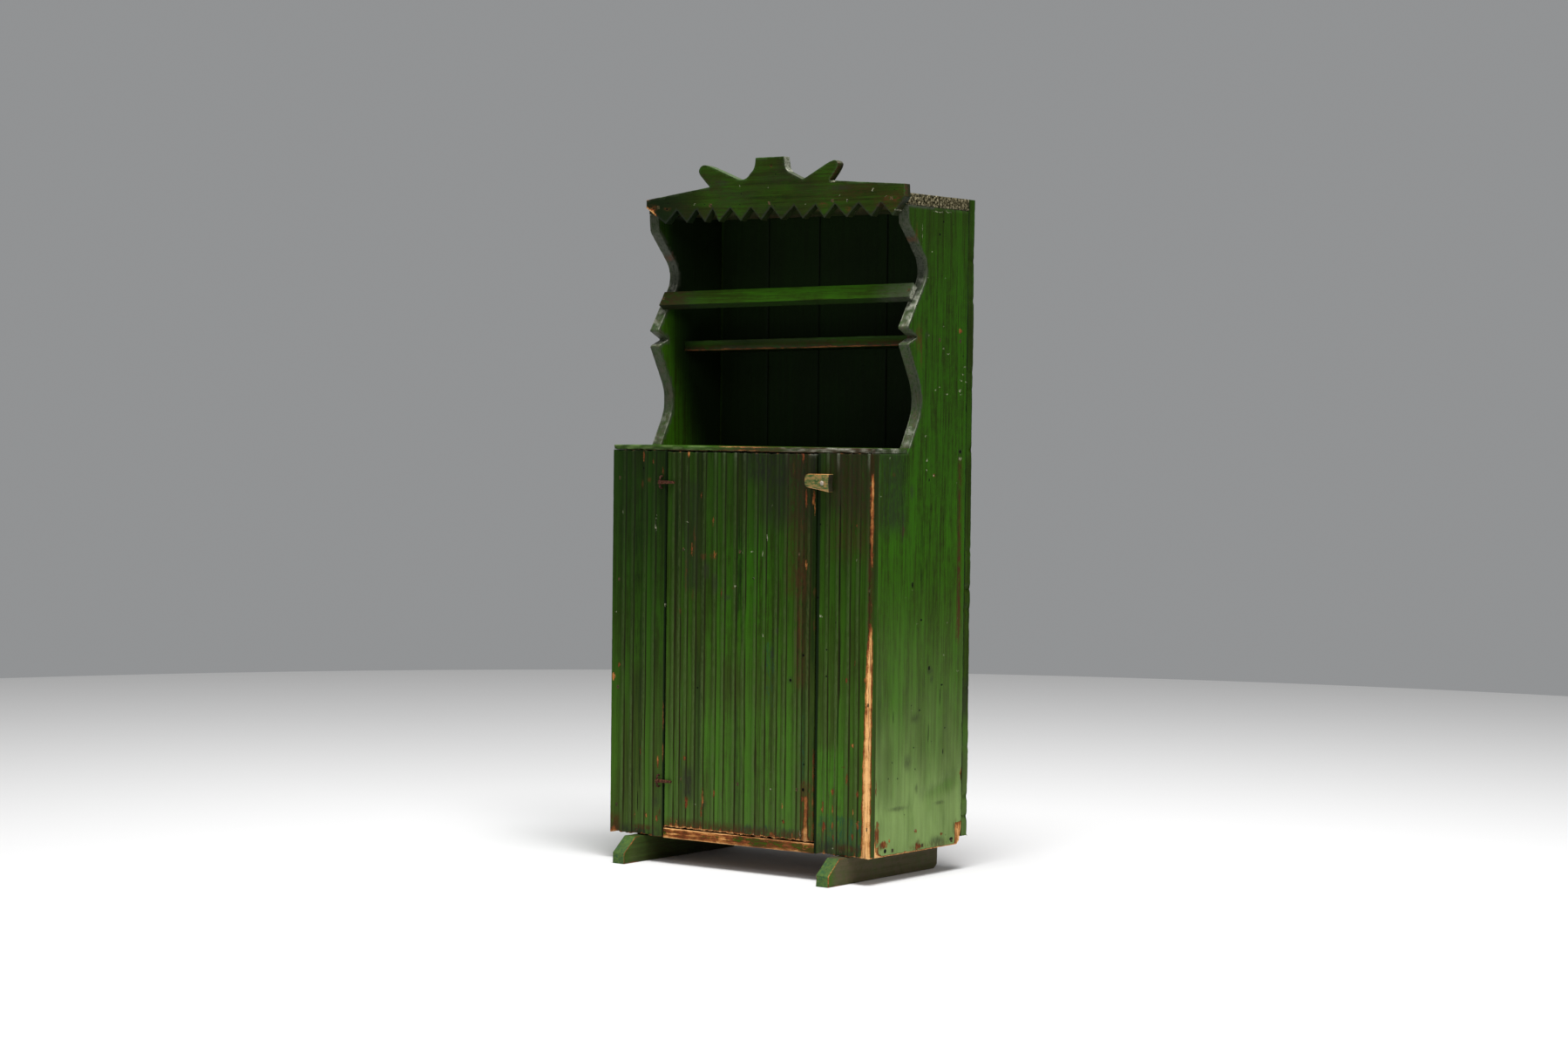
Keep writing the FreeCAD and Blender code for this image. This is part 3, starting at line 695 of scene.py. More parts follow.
def blunted(loop, foot, inner, turns=80):
    """The crest's outline with the tips of its two horns worn round."""
    horns = smooth(foot, foot + 8 * MM, loop[:, 1]) * (np.abs(loop[:, 0] - CASE_MIDDLE) > inner)
    for _ in range(turns):
        even = (np.roll(loop, 1, 0) + 2 * loop + np.roll(loop, -1, 0)) / 4
        loop = loop + (even - loop) * horns[:, None]
    return loop


def ragged(node, points, faces, wall, amount, seed):
    """The points moved inward unevenly, and kept in the CAD node's box."""
    normals = face_normals_at(points, faces)
    where = points / MM
    swell = 0.5 + 0.5 * wander(where, 0.012, seed + 5)
    fine = np.abs(wander(where, (0.09, 0.09, 0.05), seed + 9))
    rasp = np.abs(wander(where, (0.03, 0.35, 0.35), seed + 13))
    depth = amount * (0.35 * swell + wall * (fine + 0.8 * rasp))
    if node.startswith("back_board"):
        depth += chipped_edge(case_mm(points), seed)
    if node == "counter_board":
        _, y, z = case_mm(points).T
        worn = smooth(COUNTER_TOP - 3, COUNTER_TOP - 8, z) * (y < 3)
        waves = 0.8 * wander(where, (0.05, 0, 0), 31), 0.6 * wander(where, (0.2, 0, 0), 33)
        depth += worn * (1.6 + waves[0] + waves[1])
    if node == "side_board_right":
        depth += scuffs(case_mm(points))
    moved = points - normals * depth[:, None] * MM
    low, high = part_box(node)
    return np.clip(moved, np.array(low), np.array(high))


def chipped_edge(where, seed):
    """How deep the outer long edges of the back are broken away."""
    outer = smooth(HALF_WIDTH - 3, HALF_WIDTH - 0.5, np.abs(where[:, 0]))
    along = where * [0, 0.1, 1]
    wave = 0.7 + 1.5 * wander(along, 0.011, seed + 1) + 0.6 * wander(along, 0.05, seed)
    chips = 10 * np.clip(wander(along, 0.05, seed + 2) - 0.26, 0, 1)
    return outer * np.maximum(wave + chips, 0)


# Each from one (back, up) place to another, with its depth and half width
SCUFFS = (
    (20, 150, 150, 134, 1.6, 24), (56, 149, 146, 139, 0.7, 8), (222, 136, 262, 147, 0.7, 7),
    (190, 158, 318, 192, 1.9, 26), (185, 300, 205, 235, 0.8, 14), (150, 580, 132, 585, 0.5, 5),
    (60, 330, 90, 420, 0.7, 30), (240, 520, 250, 700, 0.7, 34), (308, 480, 304, 835, 1.1, 4.5),
)


def scuffs(where):
    """How deep the dents and the scraped band in the right side are."""
    x, y, z = where.T
    depth = np.zeros(len(where))
    for y0, z0, y1, z1, deep, width in SCUFFS:
        run, rise = y1 - y0, z1 - z0
        t = np.clip(((y - y0) * run + (z - z0) * rise) / (run ** 2 + rise ** 2), 0, 1)
        depth += deep * smooth(width, 0, np.hypot(y - y0 - t * run, z - z0 - t * rise))
    return depth * (x > HALF_WIDTH - 3)


# Fluted boards, in mm: their arris, the distance between points over a hollow, and how deep
# behind the front their fluted side reaches

FLUTED_ARRIS = 1.2
FLUTE_STEP = 1.3
FLUTED_DEPTH = 6.0


def fluted_loop(node):
    """The outline of a fluted board seen from above, its hollows drawn smooth, and lands."""
    loop = outline(node, 2, True)
    low, high = loop.min(0), loop.max(0)
    front = np.abs(loop[:, 1] - low[1]) < CLOSE
    xs = np.sort(loop[front][:, 0])
    lands = list(zip(xs[::2], xs[1::2]))
    line = []
    for k, (start, end) in enumerate(lands):
        for x in np.linspace(start, end, 4):
            line.append((x, low[1]))
        if k + 1 < len(lands):
            following = lands[k + 1][0]
            between = (loop[:, 0] > end + 1e-6) & (loop[:, 0] < following - 1e-6)
            between &= loop[:, 1] < (low[1] + high[1]) / 2
            depth = loop[between][:, 1].max() - low[1]
            steps = max(8, round((following - end) / (FLUTE_STEP * MM)))
            for t in np.linspace(0, 1, steps + 1)[1:-1]:
                line.append((end + t * (following - end), low[1] + depth * (1 - (2 * t - 1) ** 2)))
    line.append((high[0], high[1]))
    line.append((low[0], high[1]))
    return divided(rounded(np.array(line), FLUTED_ARRIS * MM, sharp=math.radians(60)), 10 * MM), lands


def shape_fluted(node, seed):
    low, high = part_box(node)
    loop, lands = fluted_loop(node)
    arris = FLUTED_ARRIS * MM
    rows = rows_between(low.z, high.z, arris, step=7 * MM)
    points, faces, edge, _ = drawn(loop, low.z, high.z, 2, arris, rows, cap_step=6 * MM, seed=seed)
    depth = (points[:, 1] - low.y) / MM
    where = points / MM
    plain = points.copy()
    is_front = depth < FLUTED_DEPTH
    waver = wander(where * [1, 0, 1], (0.03, 1, 0.006), seed) * 1.1
    waver += wander(where * [1, 0, 1], (0.09, 1, 0.03), seed + 1) * 0.35
    inside = np.minimum(points[:, 0] - low.x, high.x - points[:, 0]) / MM
    points[:, 0] += waver * MM * is_front * smooth(3, 12, inside)
    foot = smooth(14, 2, (points[:, 2] - low.z) / MM)
    nibble = 1.6 + 3.0 * wander(where, (0.07, 0, 0), seed + 21)
    nibble += 1.8 * wander(where, (0.3, 0, 0), seed + 22)
    points[:, 2] += foot * np.clip(nibble, 0, 5) * MM
    head = smooth(10, 2, (high.z - points[:, 2]) / MM)
    points[:, 2] -= head * np.clip(nibble[::-1] - 1.5, 0, 2.5) * MM
    points = ragged(node, points, faces, is_front * 0.8, 0.5, seed)
    ridge = np.zeros(len(points))
    groove = np.zeros(len(points))
    # Paler lands on the ridges are worn paint and painted highlight; the dark bands beside them, heavier
    # on the right, are dirt and painted shade
    for start, end in lands[1:-1]:
        right_of = (plain[:, 0] - end) / MM
        left_of = (start - plain[:, 0]) / MM
        wide = 1.0 + 0.5 * wander(where * [0, 0, 1], 0.009, seed + 60 * end)
        ridge = np.maximum(ridge, smooth(2.0, 0.7, right_of) * smooth(4.6 * wide, 1.6 * wide, left_of))
        groove = np.maximum(groove, band(right_of, 2.0, 2.0 + 2.6 * wide, 0.8))
        groove = np.maximum(groove, 0.5 * band(left_of, 5.4 * wide, 6.8 * wide, 0.9))
    vary = 1.0 + 0.6 * wander(where, (0.11, 0, 0.012), seed + 4)
    rng = np.random.default_rng(7 + seed)
    flute = np.searchsorted([end for _, end in lands], plain[:, 0])
    own = rng.uniform(0.1, 0.9, len(lands) + 1)[flute]
    drift = wander(np.stack([flute * 9.7, flute * 0, where[:, 2]], 1), (1, 1, 0.007), seed)
    return points, faces, {
        "edge": edge, "ridge": ridge * is_front * np.clip(vary - 0.05, 0.3, 1),
        "groove": groove * vary * is_front,
        "tone": own + 0.45 * drift,
    }


# Where paint, dirt, bare wood, painted shade and painted highlights lie, in millimetres on the case

def patch(across, up, strength, low, high, bottom, top, soft):
    """A strength inside a box that fades over its soft edges."""
    return strength * band(across, low, high, soft) * band(up, bottom, top, soft)


def add_patches(shares, across, up, table):
    for key, patches in table.items():
        for numbers in patches:
            shares[key] = shares[key] + patch(across, up, *numbers)


# Strength, left, right, bottom, top and softness of each patch on the front
FRONT_PATCHES = {
    "raw": [
        (0.52, -188, -20, 50, 79, 4), (0.42, -30, 185, 50, 78, 5), (0.24, -190, 175, 70, 100, 9),
        (0.55, 163, 180, 72, 168, 6), (0.60, 187, 192, 60, 262, 3), (0.42, -340, -310, 50, 90, 8),
        (0.28, -330, -190, 50, 64, 5), (0.28, 195, 330, 50, 66, 5),
    ],
    "grime_and_shade": [
        (1.0, 15, 200, 785, 860, 22), (0.7, 60, 190, 700, 800, 30), (0.8, 225, 330, 720, 860, 30),
        (0.5, -140, -100, 560, 780, 14), (0.9, -200, -196, 80, 150, 14), (0.8, -137, -110, 135, 200, 10),
        (0.8, -340, -190, 48, 72, 8), (0.8, 195, 318, 48, 80, 10), (0.5, -150, 170, 72, 92, 8),
    ],
    "bright": [
        (1.0, 8, 68, 500, 640, 16), (0.6, -60, 100, 420, 690, 40), (0.5, -90, 170, 120, 330, 40),
        (0.9, 200, 270, 110, 260, 14), (0.5, -300, -200, 400, 800, 30),
    ],
    "teal": [
        (0.35, -149, -138, 120, 400, 5), (0.35, 60, 100, 330, 470, 10), (0.38, 152, 172, 180, 330, 8),
        (0.42, 10, 180, 60, 104, 12), (0.42, 195, 318, 60, 140, 16), (0.30, -60, 20, 60, 90, 10),
    ],
    "brown": [
        (0.7, -188, 188, 70, 92, 8), (0.7, 160, 186, 70, 190, 7), (0.8, -340, -300, 50, 90, 10),
        (0.55, 120, 172, 560, 845, 14), (0.40, 140, 172, 380, 640, 12), (0.45, 225, 330, 640, 850, 26),
    ],
    "sage": [(0.10, -340, 340, -50, 420, 170), (0.10, -340, 340, -50, 150, 110)],
    # The door's top right corner: worn paint and painted highlight
    "pale": [(0.9, 172, 190, 838, 852, 5)],
}

# The same on the right side, with front and back for left and right
RIGHT_PATCHES = {
    "raw": [(0.62, 14, 42, 40, 82, 12), (0.80, 301, 335, 52, 100, 5), (0.40, 318, 335, 100, 210, 6)],
    "brown": [(0.8, 299, 312, 470, 830, 7)],
    "grime_and_shade": [(0.75, 15, 110, 690, 860, 26), (0.6, 215, 262, 55, 76, 9)],
}

# From and to across, the painted shadow along the door's two long edges
DOOR_GAP_SHADOWS = ((-189.5, -183.5), (191.0, 199.0))
# How bare the strip down the front right arris is, at these heights
STRIP_HEIGHTS = [440, 495, 525, 600, 628, 700]
STRIP_STRENGTH = [1.05, 0.80, 0.50, 0.50, 0.72, 0.95]


def front_shares(where, shares):
    """The shares of a fluted board, added to those that follow its ridges."""
    x, y, z = where.T
    rise = where * [0, 0, 1]
    ridge = shares["ridge"]
    add = {key: np.zeros(len(where)) for key in (*FRONT_PATCHES, "shade_and_soot")}
    add_patches(add, x, z, FRONT_PATCHES)
    chosen = smooth(-0.2, 0.3, wander(where * [1, 0, 0], 0.021, 41))
    add["raw"] += ridge * 0.26 * smooth(270, 70, z)
    add["raw"] += ridge * 0.22 * smooth(790, 845, z) * (1 - chosen)
    # Ridge tops near the top are paler: worn paint and painted highlight
    add["pale"] += ridge * 0.34 * smooth(800, 846, z) * smooth(-200, 250, x) * chosen
    width = 4 + 13 * smooth(760, 90, z) ** 1.5
    wave = 1.8 * wander(rise, 0.03, 3) + 1.2 * wander(rise, 0.11, 5)
    wave += 1.5 * np.abs(wander(rise, 0.35, 9))
    edge_of_strip = HALF_WIDTH - width - wave
    strip = smooth(edge_of_strip - 14, edge_of_strip + 9, x) * smooth(850, 770, z)
    strip *= 1 - smooth(7, 12, y) * (x > HALF_WIDTH - 2)
    add["raw"] = np.maximum(add["raw"], np.interp(z, STRIP_HEIGHTS, STRIP_STRENGTH) * strip)
    add["brown"] += 0.9 * band(x, HALF_WIDTH - 9, HALF_WIDTH + 2, 2) * band(z, 490, 640, 20) * (y < 9)
    add["brown"] += 0.9 * smooth(HALF_WIDTH - 9, HALF_WIDTH - 2, x) * band(z, 770, 850, 12) * (y < 9)
    # Darker towards the top and on the left stile, and painted shadow along the door's long edges
    add["shade_and_soot"] += 0.50 * smooth(200, 850, z) + 0.12 + 0.2 * smooth(-180, -200, x) * smooth(150, 400, z)
    for low, high in DOOR_GAP_SHADOWS:
        add["shade_and_soot"] += 0.9 * band(x, low, high, 1.2)
    add["aged"] = 0.75 * smooth(110, 60, z) * (x < HALF_WIDTH - 22) + 0.6 * band(x, -192, -180, 2)
    add["aged"] += 0.45 * band(x, 160, 194, 4) * smooth(280, 200, z)
    for key, values in add.items():
        shares[key] = values * (y < BEHIND_FRONT)
    shares["inside"] = y > BEHIND_FRONT
    return shares


# A board's points on the case, their normals, and how much each is on an arris or on the rim
Skin = namedtuple("Skin", "where normals edge wall")


def side_shares(skin):
    where, normals, edge, wall = skin
    x, y, z = where.T
    right = x.mean() > 0
    outer = (x > HALF_WIDTH - 4) if right else (x < -HALF_WIDTH + 4)
    inner = ~outer
    face = wall < 0.5
    scallop = (wall > 0) & (z > COUNTER_TOP) & (y < 200)
    upward = scallop * smooth(0.15, 0.5, normals[:, 2])
    # Painted shade in the rack: the inner faces above the counter darken from these depths back
    fade_from = np.interp(z, [860, 1040, 1110, 1180], [150, 110, 110, 60])
    fade_run = np.interp(z, [860, 1040, 1180], [150, 100, 110])
    blotch = smooth(-0.1, 0.4, wander(where, 0.09, 6))
    # Painted highlight: parts of the scalloped edges that face up are made paler, in blotches, most in
    # the middle of the rack
    shiny = 0.55 + 0.45 * smooth(900, 1040, z) - 0.5 * smooth(1130, 1180, z)
    lit = upward * (0.10 + 0.60 * blotch * shiny + 0.3 * (edge > 0.2))
    dark = inner * smooth(fade_from, fade_from + fade_run, y) * (z > COUNTER_TOP - 5) * 0.97
    cloudy = 0.9 + 0.35 * wander(where, (0, 0.02, 0.012), 4) + 0.15 * wander(where, (0, 0.07, 0.03), 5)
    sage = 0.60 * smooth(270, 110, z) + 0.34 * smooth(440, 200, z) + 0.15 * smooth(620, 380, z)
    bright = 0.75 * band(z, 640, 1250, 120) + 0.3 * band(z, 300, 700, 80)
    streaks = wander(where, (0, 0.035, 0.0035), 11)
    shares = {
        "edge": np.where(scallop, 0.3, edge) * (y < BACK_FRONT - 6),
        "grime_and_shade": np.where(scallop, 0.75, 0.0),
        "gloss": scallop * (0.22 + 0.7 * upward * blotch),
        "pale": lit + 0.12 * scallop * (1 - upward),
        "gap": 0.9 * smooth(BACK_FRONT - 3.5, BACK_FRONT - 0.5, y) * face,
        # Painted shade in the rack and on the scalloped edges where they do not face up; the outer face
        # darker towards the top
        "shade_and_soot": dark + outer * 0.44 * smooth(230, 1000, z) + 0.31 * scallop * (1 - 0.6 * upward),
        "inside": inner * (z < BELOW_COUNTER) * face,
        "unmarked": inner * face,
        "sage": sage * outer * cloudy,
        "bright": bright * np.where(inner, 0.3, 1.0),
        "tone": 0.5 + (0.5 - 0.2 * smooth(850, 1000, z)) * streaks,
        "raw": patch(y, z, 0.55, -10, 300, 48, 57, 5),
        "brown": 0.4 * scallop * smooth(0.0, 0.4, wander(where, 0.06, 16)),
    }
    if right:
        add_patches(shares, y, z, RIGHT_PATCHES)
        from_crack = np.abs(y - (308 - 4 * (z - 480) / 355))
        from_hollow = np.hypot((y - 262) / 58, (z - 172 - 0.16 * (y - 262)) / 17)
        shares["brown"] += 1.2 * band(z, 500, 825, 20) * smooth(4.5, 1.5, from_crack)
        shares["brown"] += 0.5 * band(z, 53, 66, 6) * smooth(0.0, 0.3, wander(where, (0, 0.03, 0.03), 2))
        shares["bright"] += 0.5 * smooth(1.3, 0.2, from_hollow)
        shares["sage"] *= 1 - 0.35 * smooth(1.3, 0.2, from_hollow)
    return shares


def back_shares(skin):
    x, y, z = skin.where.T
    rim = skin.wall > 0
    in_case = (y < BACK_FRONT + 4) & (np.abs(x) < SIDE_INNER + 2)
    rack = in_case & (z > BELOW_COUNTER)
    joint = rim & (np.abs(x) < HALF_WIDTH - 6)
    outer = rim & (np.abs(x) > HALF_WIDTH - 6)
    return {
        "inside": ((y > BACK_FACE - 3) & (skin.wall < 0.5)) | (in_case & (z < BELOW_COUNTER)),
        # The rack's back boards are nearly black: painted shade; outside the rack, darker towards the
        # top
        "shade_and_soot": np.where(rack, 0.95, 0.05 + 0.42 * smooth(300, 1000, z)),
        "edge": np.where(rack, 0.0, skin.edge * 0.6),
        "sage": 0.35 * smooth(420, 60, z),
        "grime_and_shade": np.where(rack, 0, 0.8 * band(z, 310, 380, 20)),
        "gap": np.maximum(0.95 * joint, 0.9 * outer * smooth(BACK_FRONT + 3, BACK_FRONT + 1, y)),
    }


def top_shares(skin):
    face = skin.wall < 0.5
    return {
        "endgrain": (np.abs(skin.where[:, 0]) > HALF_WIDTH - 3) * (skin.wall > 0),
        "grime_and_shade": 0.8,
        "dust": 0.55 * face * smooth(-0.3, 0.4, wander(skin.where, 0.01, 25)),
        "brown": 0.6 * smooth(-0.1, 0.4, wander(skin.where, 0.012, 15)) * face,
        "shade_and_soot": 0.25,
    }


def crest_shares(skin):
    x, y, z = skin.where.T
    face, rim = skin.wall < 0.5, skin.wall > 0
    to_right, to_up = skin.normals[:, 0], skin.normals[:, 2]
    under = rim & (z < 1345) & (to_up < 0.2)
    right_end = rim * (to_right > 0.5) * ((x > 320) + (x > 90) * (z > 1365))
    smudged = smooth(-0.25, 0.35, wander(skin.where, (0.012, 0, 0.03), 23))
    brown = patch(x, z, 1.0, -335, -285, 1300, 1362, 8) * rim
    brown += patch(x, z, 0.55, 262, 330, 1318, 1350, 10)
    brown += right_end * 1.0 + under * 0.5
    # Painted highlight: rims that face up, and the tab's right edge, are paler
    pale = rim * (to_up > 0.3) * 0.18
    pale += rim * (to_right > 0.6) * (np.abs(x) < 75) * (z > 1350) * 0.55
    # Downward-facing lower rims are blackened: painted shade; the crest is darker towards its left end
    shade_and_soot = np.where(under, 0.85, 0.42) + 0.42 * smooth(-140, -280, x)
    return {
        "shade_and_soot": shade_and_soot + 0.4 * right_end * smooth(-3, 4, y - 98) + 0.12 * face,
        "brown": brown + (0.15 + 0.45 * smudged * smooth(60, 280, np.abs(x))) * face,
        "raw": patch(x, z, 0.48, -318, -288, 1322, 1345, 6),
        "pale": pale,
        "gloss": rim * 0.5,
        "bright": patch(x, z, 0.3, -110, 60, 1300, 1400, 30),
        "grime_and_shade": 0.5 * smudged * smooth(330, 100, x + 2 * np.abs(z - 1400)),
    }


def rail_shares(skin):
    x = skin.where[:, 0]
    lower = skin.normals[:, 2] < -0.2
    # Faces that point down are blackened and greyed: painted shade; the left end is darker too
    return {
        "shade_and_soot": np.where(lower, 0.75, 0.40) + 0.15 * smooth(-200, -300, x),
        "bright": 0.5 * band(x, -150, 230, 70),
        "brown": 0.7 * band(x, -340, -250, 30),
        "grime_and_shade": 0.8 * band(x, -340, -230, 40) + (0.7 * band(x, 265, 340, 30) + lower * 0.5),
        # Faces near the right end are much paler: worn paint and painted highlight
        "pale": (skin.wall < 0.5) * (x > 300) * 0.9 + 0.07 * band(x, 240, 340, 30),
        "gloss": (x > 309) * 0.5,
    }


def plate_shelf_shares(skin):
    x, y, z = skin.where.T
    low, high = (corner.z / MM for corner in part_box("plate_shelf"))
    rise = high - low - PLATE_SHELF_THICKNESS
    above = z - low - rise * (x + SIDE_INNER) / (2 * SIDE_INNER)
    front = y < 206
    return {
        "brown": smooth(12, 8, above) * front,
        "raw": 0.22 * smooth(10, 6, above) * front,
        "aged": 1.0,
        # Darker throughout, and painted shade towards the back and the left end
        "shade_and_soot": 0.58 + 0.35 * smooth(215, 260, y) + 0.3 * smooth(-240, -300, x),
    }


def counter_shares(skin):
    x, y, z = skin.where.T
    end = x > HALF_WIDTH - 4
    broken = smooth(-0.15, 0.35, wander(skin.where, (0.04, 0.05, 0.2), 19))
    return {
        "raw": 0.34 * band(x, -60, 90, 30) * (y < 6) * (skin.wall > 0),
        # The front edge's right part and the right end are paler: worn paint and painted highlight
        "pale": 0.85 * broken * smooth(60, 200, x) * (y < 14) + 0.6 * broken * end,
        "brown": 0.6 * smooth(-150, 120, x) * (y < 10),
        "sage": 0.5 * broken * smooth(100, -150, x) * (y < 6),
        "grime_and_shade": 0.9 * smooth(100, 220, x) * (y < 20) + 0.5 * end,
        "gloss": (y < 8) * 0.5 + end * 0.6,
        "aged": 0.6,
        "bright": 0.4 * smooth(20, -200, x),
        # Darker towards the back, under the rack: painted shade
        "shade_and_soot": 0.85 * smooth(90, 230, y) + 0.15,
        "inside": (z < COUNTER_TOP - 8) * (skin.wall < 0.5),
    }


def floor_shares(skin):
    x, y, _ = skin.where.T
    gone = wander(skin.where, (0.025, 0, 0.09), 27) + 0.4 * smooth(-60, 120, x) - 0.2
    return {
        "raw": 0.64 * band(y, -10, 14, 5) - 0.22 * smooth(0.0, 0.4, gone),
        "brown": 0.9,
        "aged": 0.05 + 0.6 * smooth(-60, 100, x),
        "inside": y > 20,
    }


def skid_shares(skin):
    x, y, _ = skin.where.T
    nose = skin.normals[:, 1] < -0.4
    return {
        "teal": 0.34 * nose + 0.05,
        "bright": 0.1 * nose,
        "sage": 0.24 * nose + 0.12,
        # The left skid gets less dust and more darkening, and both darken towards the back under the
        # case: painted shade
        "dust": np.where(x > 0, 0.95, 0.30) * smooth(-58, -30, y) * (1 - nose),
        "brown": 0.4 * smooth(-40, 60, y),
        "shade_and_soot": 0.08 + np.where(x > 0, 0.04, 0.40) * smooth(-50, 0, y) * (1 - nose),
        "raw": skin.edge * 0.50 * smooth(5, -20, y),
        "edge": skin.edge * 0.4,
    }


def button_shares(skin):
    return {
        "raw": np.abs(skin.normals[:, 2]) * 0.7 + skin.edge * 0.25,
        # The end that faces right is made darker
        "grime_and_shade": smooth(0.5, 0.9, skin.normals[:, 0]) * 0.9,
    }


SHARES_BY_START = {
    "side_board": side_shares, "back_board": back_shares, "top_board": top_shares,
    "crest_board": crest_shares, "plate_rail": rail_shares, "plate_shelf": plate_shelf_shares,
    "counter_board": counter_shares, "floor_board": floor_shares, "skid": skid_shares,
    "turn_button": button_shares,
}


def board_shares(node, skin):
    shares = {"edge": skin.edge, "tone": 0.5 + 0.5 * wander(skin.where, 0.012, 8)}
    for start, own_shares in SHARES_BY_START.items():
        if node.startswith(start):
            shares.update(own_shares(skin))
    return shares


# Single marks, each (across, up, half width, half height) in mm, read off the real one

FRONT_MARKS = {
    "raw": [
        (-246, 828, 3, 13), (-221, 818, 2, 9), (-198, 846, 4, 4), (-197, 798, 2, 10),
        (-97, 752, 1.6, 11), (-66, 700, 2, 13), (-60, 633, 3, 10), (-120, 642, 2, 15),
        (165, 750, 2.5, 20), (167, 622, 1.8, 13), (184, 752, 4, 20), (187, 728, 2, 12),
        (287, 701, 1.8, 2.5), (250, 845, 3.5, 7), (157, 832, 2, 14), (-130, 836, 2, 10),
        (-308, 399, 3, 6), (-320, 375, 4, 10), (-43, 555, 2, 11), (267, 399, 2.5, 6), (286, 434, 1.3, 9),
        (-189, 300, 2.2, 34), (-203, 206, 3, 15), (-189, 228, 1.5, 22), (-248, 225, 1.6, 11),
        (-133, 219, 3.5, 6), (-127, 130, 4, 13), (-86, 142, 2, 22), (-88, 112, 2.2, 12),
        (-57, 152, 1.3, 11), (115, 141, 1.6, 9), (118, 111, 2.2, 5), (213, 145, 3, 15),
        (216, 108, 4.5, 14), (236, 178, 4, 11), (237, 142, 2.8, 11), (237, 112, 3.4, 9),
        (271, 206, 2, 13), (283, 272, 3, 3.5), (285, 140, 2, 9), (297, 178, 2.5, 7), (297, 118, 2.5, 9),
        (285, 93, 3.2, 9), (240, 88, 3, 7), (-262, 93, 1.6, 4), (-232, 95, 1.4, 4), (-205, 91, 2.4, 9),
        (-153, 80, 5, 8), (0, 74, 7, 6), (88, 83, 8, 5), (140, 82, 2.5, 9), (312, 400, 6, 8),
        (316, 330, 5, 20), (165, 158, 5, 6),
    ],
    "brown": [
        (-66, 630, 12, 9), (-90, 628, 10, 10), (-113, 660, 4.5, 46), (-133, 590, 3, 50),
        (-116, 550, 5, 17), (133, 810, 4, 18), (155, 700, 3, 16), (153, 490, 5, 66), (153, 385, 3, 18),
        (187, 566, 5, 16), (188, 500, 3, 18), (-232, 780, 6, 8), (-250, 772, 5, 12), (-147, 516, 4, 8),
        (-13, 568, 6, 4), (166, 188, 7, 12), (262, 228, 7, 3), (213, 90, 6, 18), (-200, 105, 8, 16),
        (283, 272, 6, 6), (-262, 93, 5, 12), (-232, 95, 5, 12), (-240, 70, 40, 8), (270, 70, 40, 10),
    ],
    "dark": [
        (85, 440, 8, 17), (98, 487, 4, 12), (-123, 165, 15, 34), (-84, 130, 12, 14), (-208, 122, 13, 24),
        (130, 391, 9, 12), (-60, 575, 12, 30), (-82, 600, 14, 26), (86, 145, 4, 4), (-28, 548, 14, 9),
    ],
    "pale": [
        (-300, 711, 2, 6), (-132, 697, 7, 1.2), (3, 643, 5, 1.5), (10, 639, 1.6, 4), (32, 642, 5, 1.8),
        (60, 640, 2.5, 8), (37, 590, 3, 2), (70, 672, 1.2, 9), (81, 736, 1.5, 2), (-213, 690, 1, 22),
        (288, 634, 2, 1.5), (203, 521, 3.5, 4), (-316, 507, 2.2, 2.5), (-187, 528, 1.8, 8),
        (62, 476, 2, 5), (84, 207, 2.2, 2), (85, 172, 2.5, 2.5), (44, 79, 1.8, 4), (-105, 128, 4, 3),
        (239, 68, 2.5, 3), (150, 845, 16, 3.5), (178, 843, 12, 5), (-8, 572, 3, 1.5),
        (-139, 640, 2, 1.5), (160, 92, 1.5, 14),
    ],
    "hole": [
        (162, 442, 2.6, 2.6), (130, 391, 3.2, 3.2), (165, 177, 3.2, 4), (-102, 363, 2, 2),
        (196, 557, 2.2, 2.5), (219, 456, 1.8, 1.8), (219, 404, 1.8, 1.8), (166, 227, 2.4, 2),
        (36, 589, 2, 2), (-246, 803, 2, 3), (240, 510, 1.6, 1.6), (200, 701, 1.8, 1.8),
        (-250, 200, 1.2, 56), (-245, 272, 1.1, 24), (-255, 122, 1.1, 24), (248, 640, 0.9, 130),
        (250, 430, 0.9, 90), (247, 310, 0.9, 50), (116, 112, 1.6, 1.6),
    ],
}
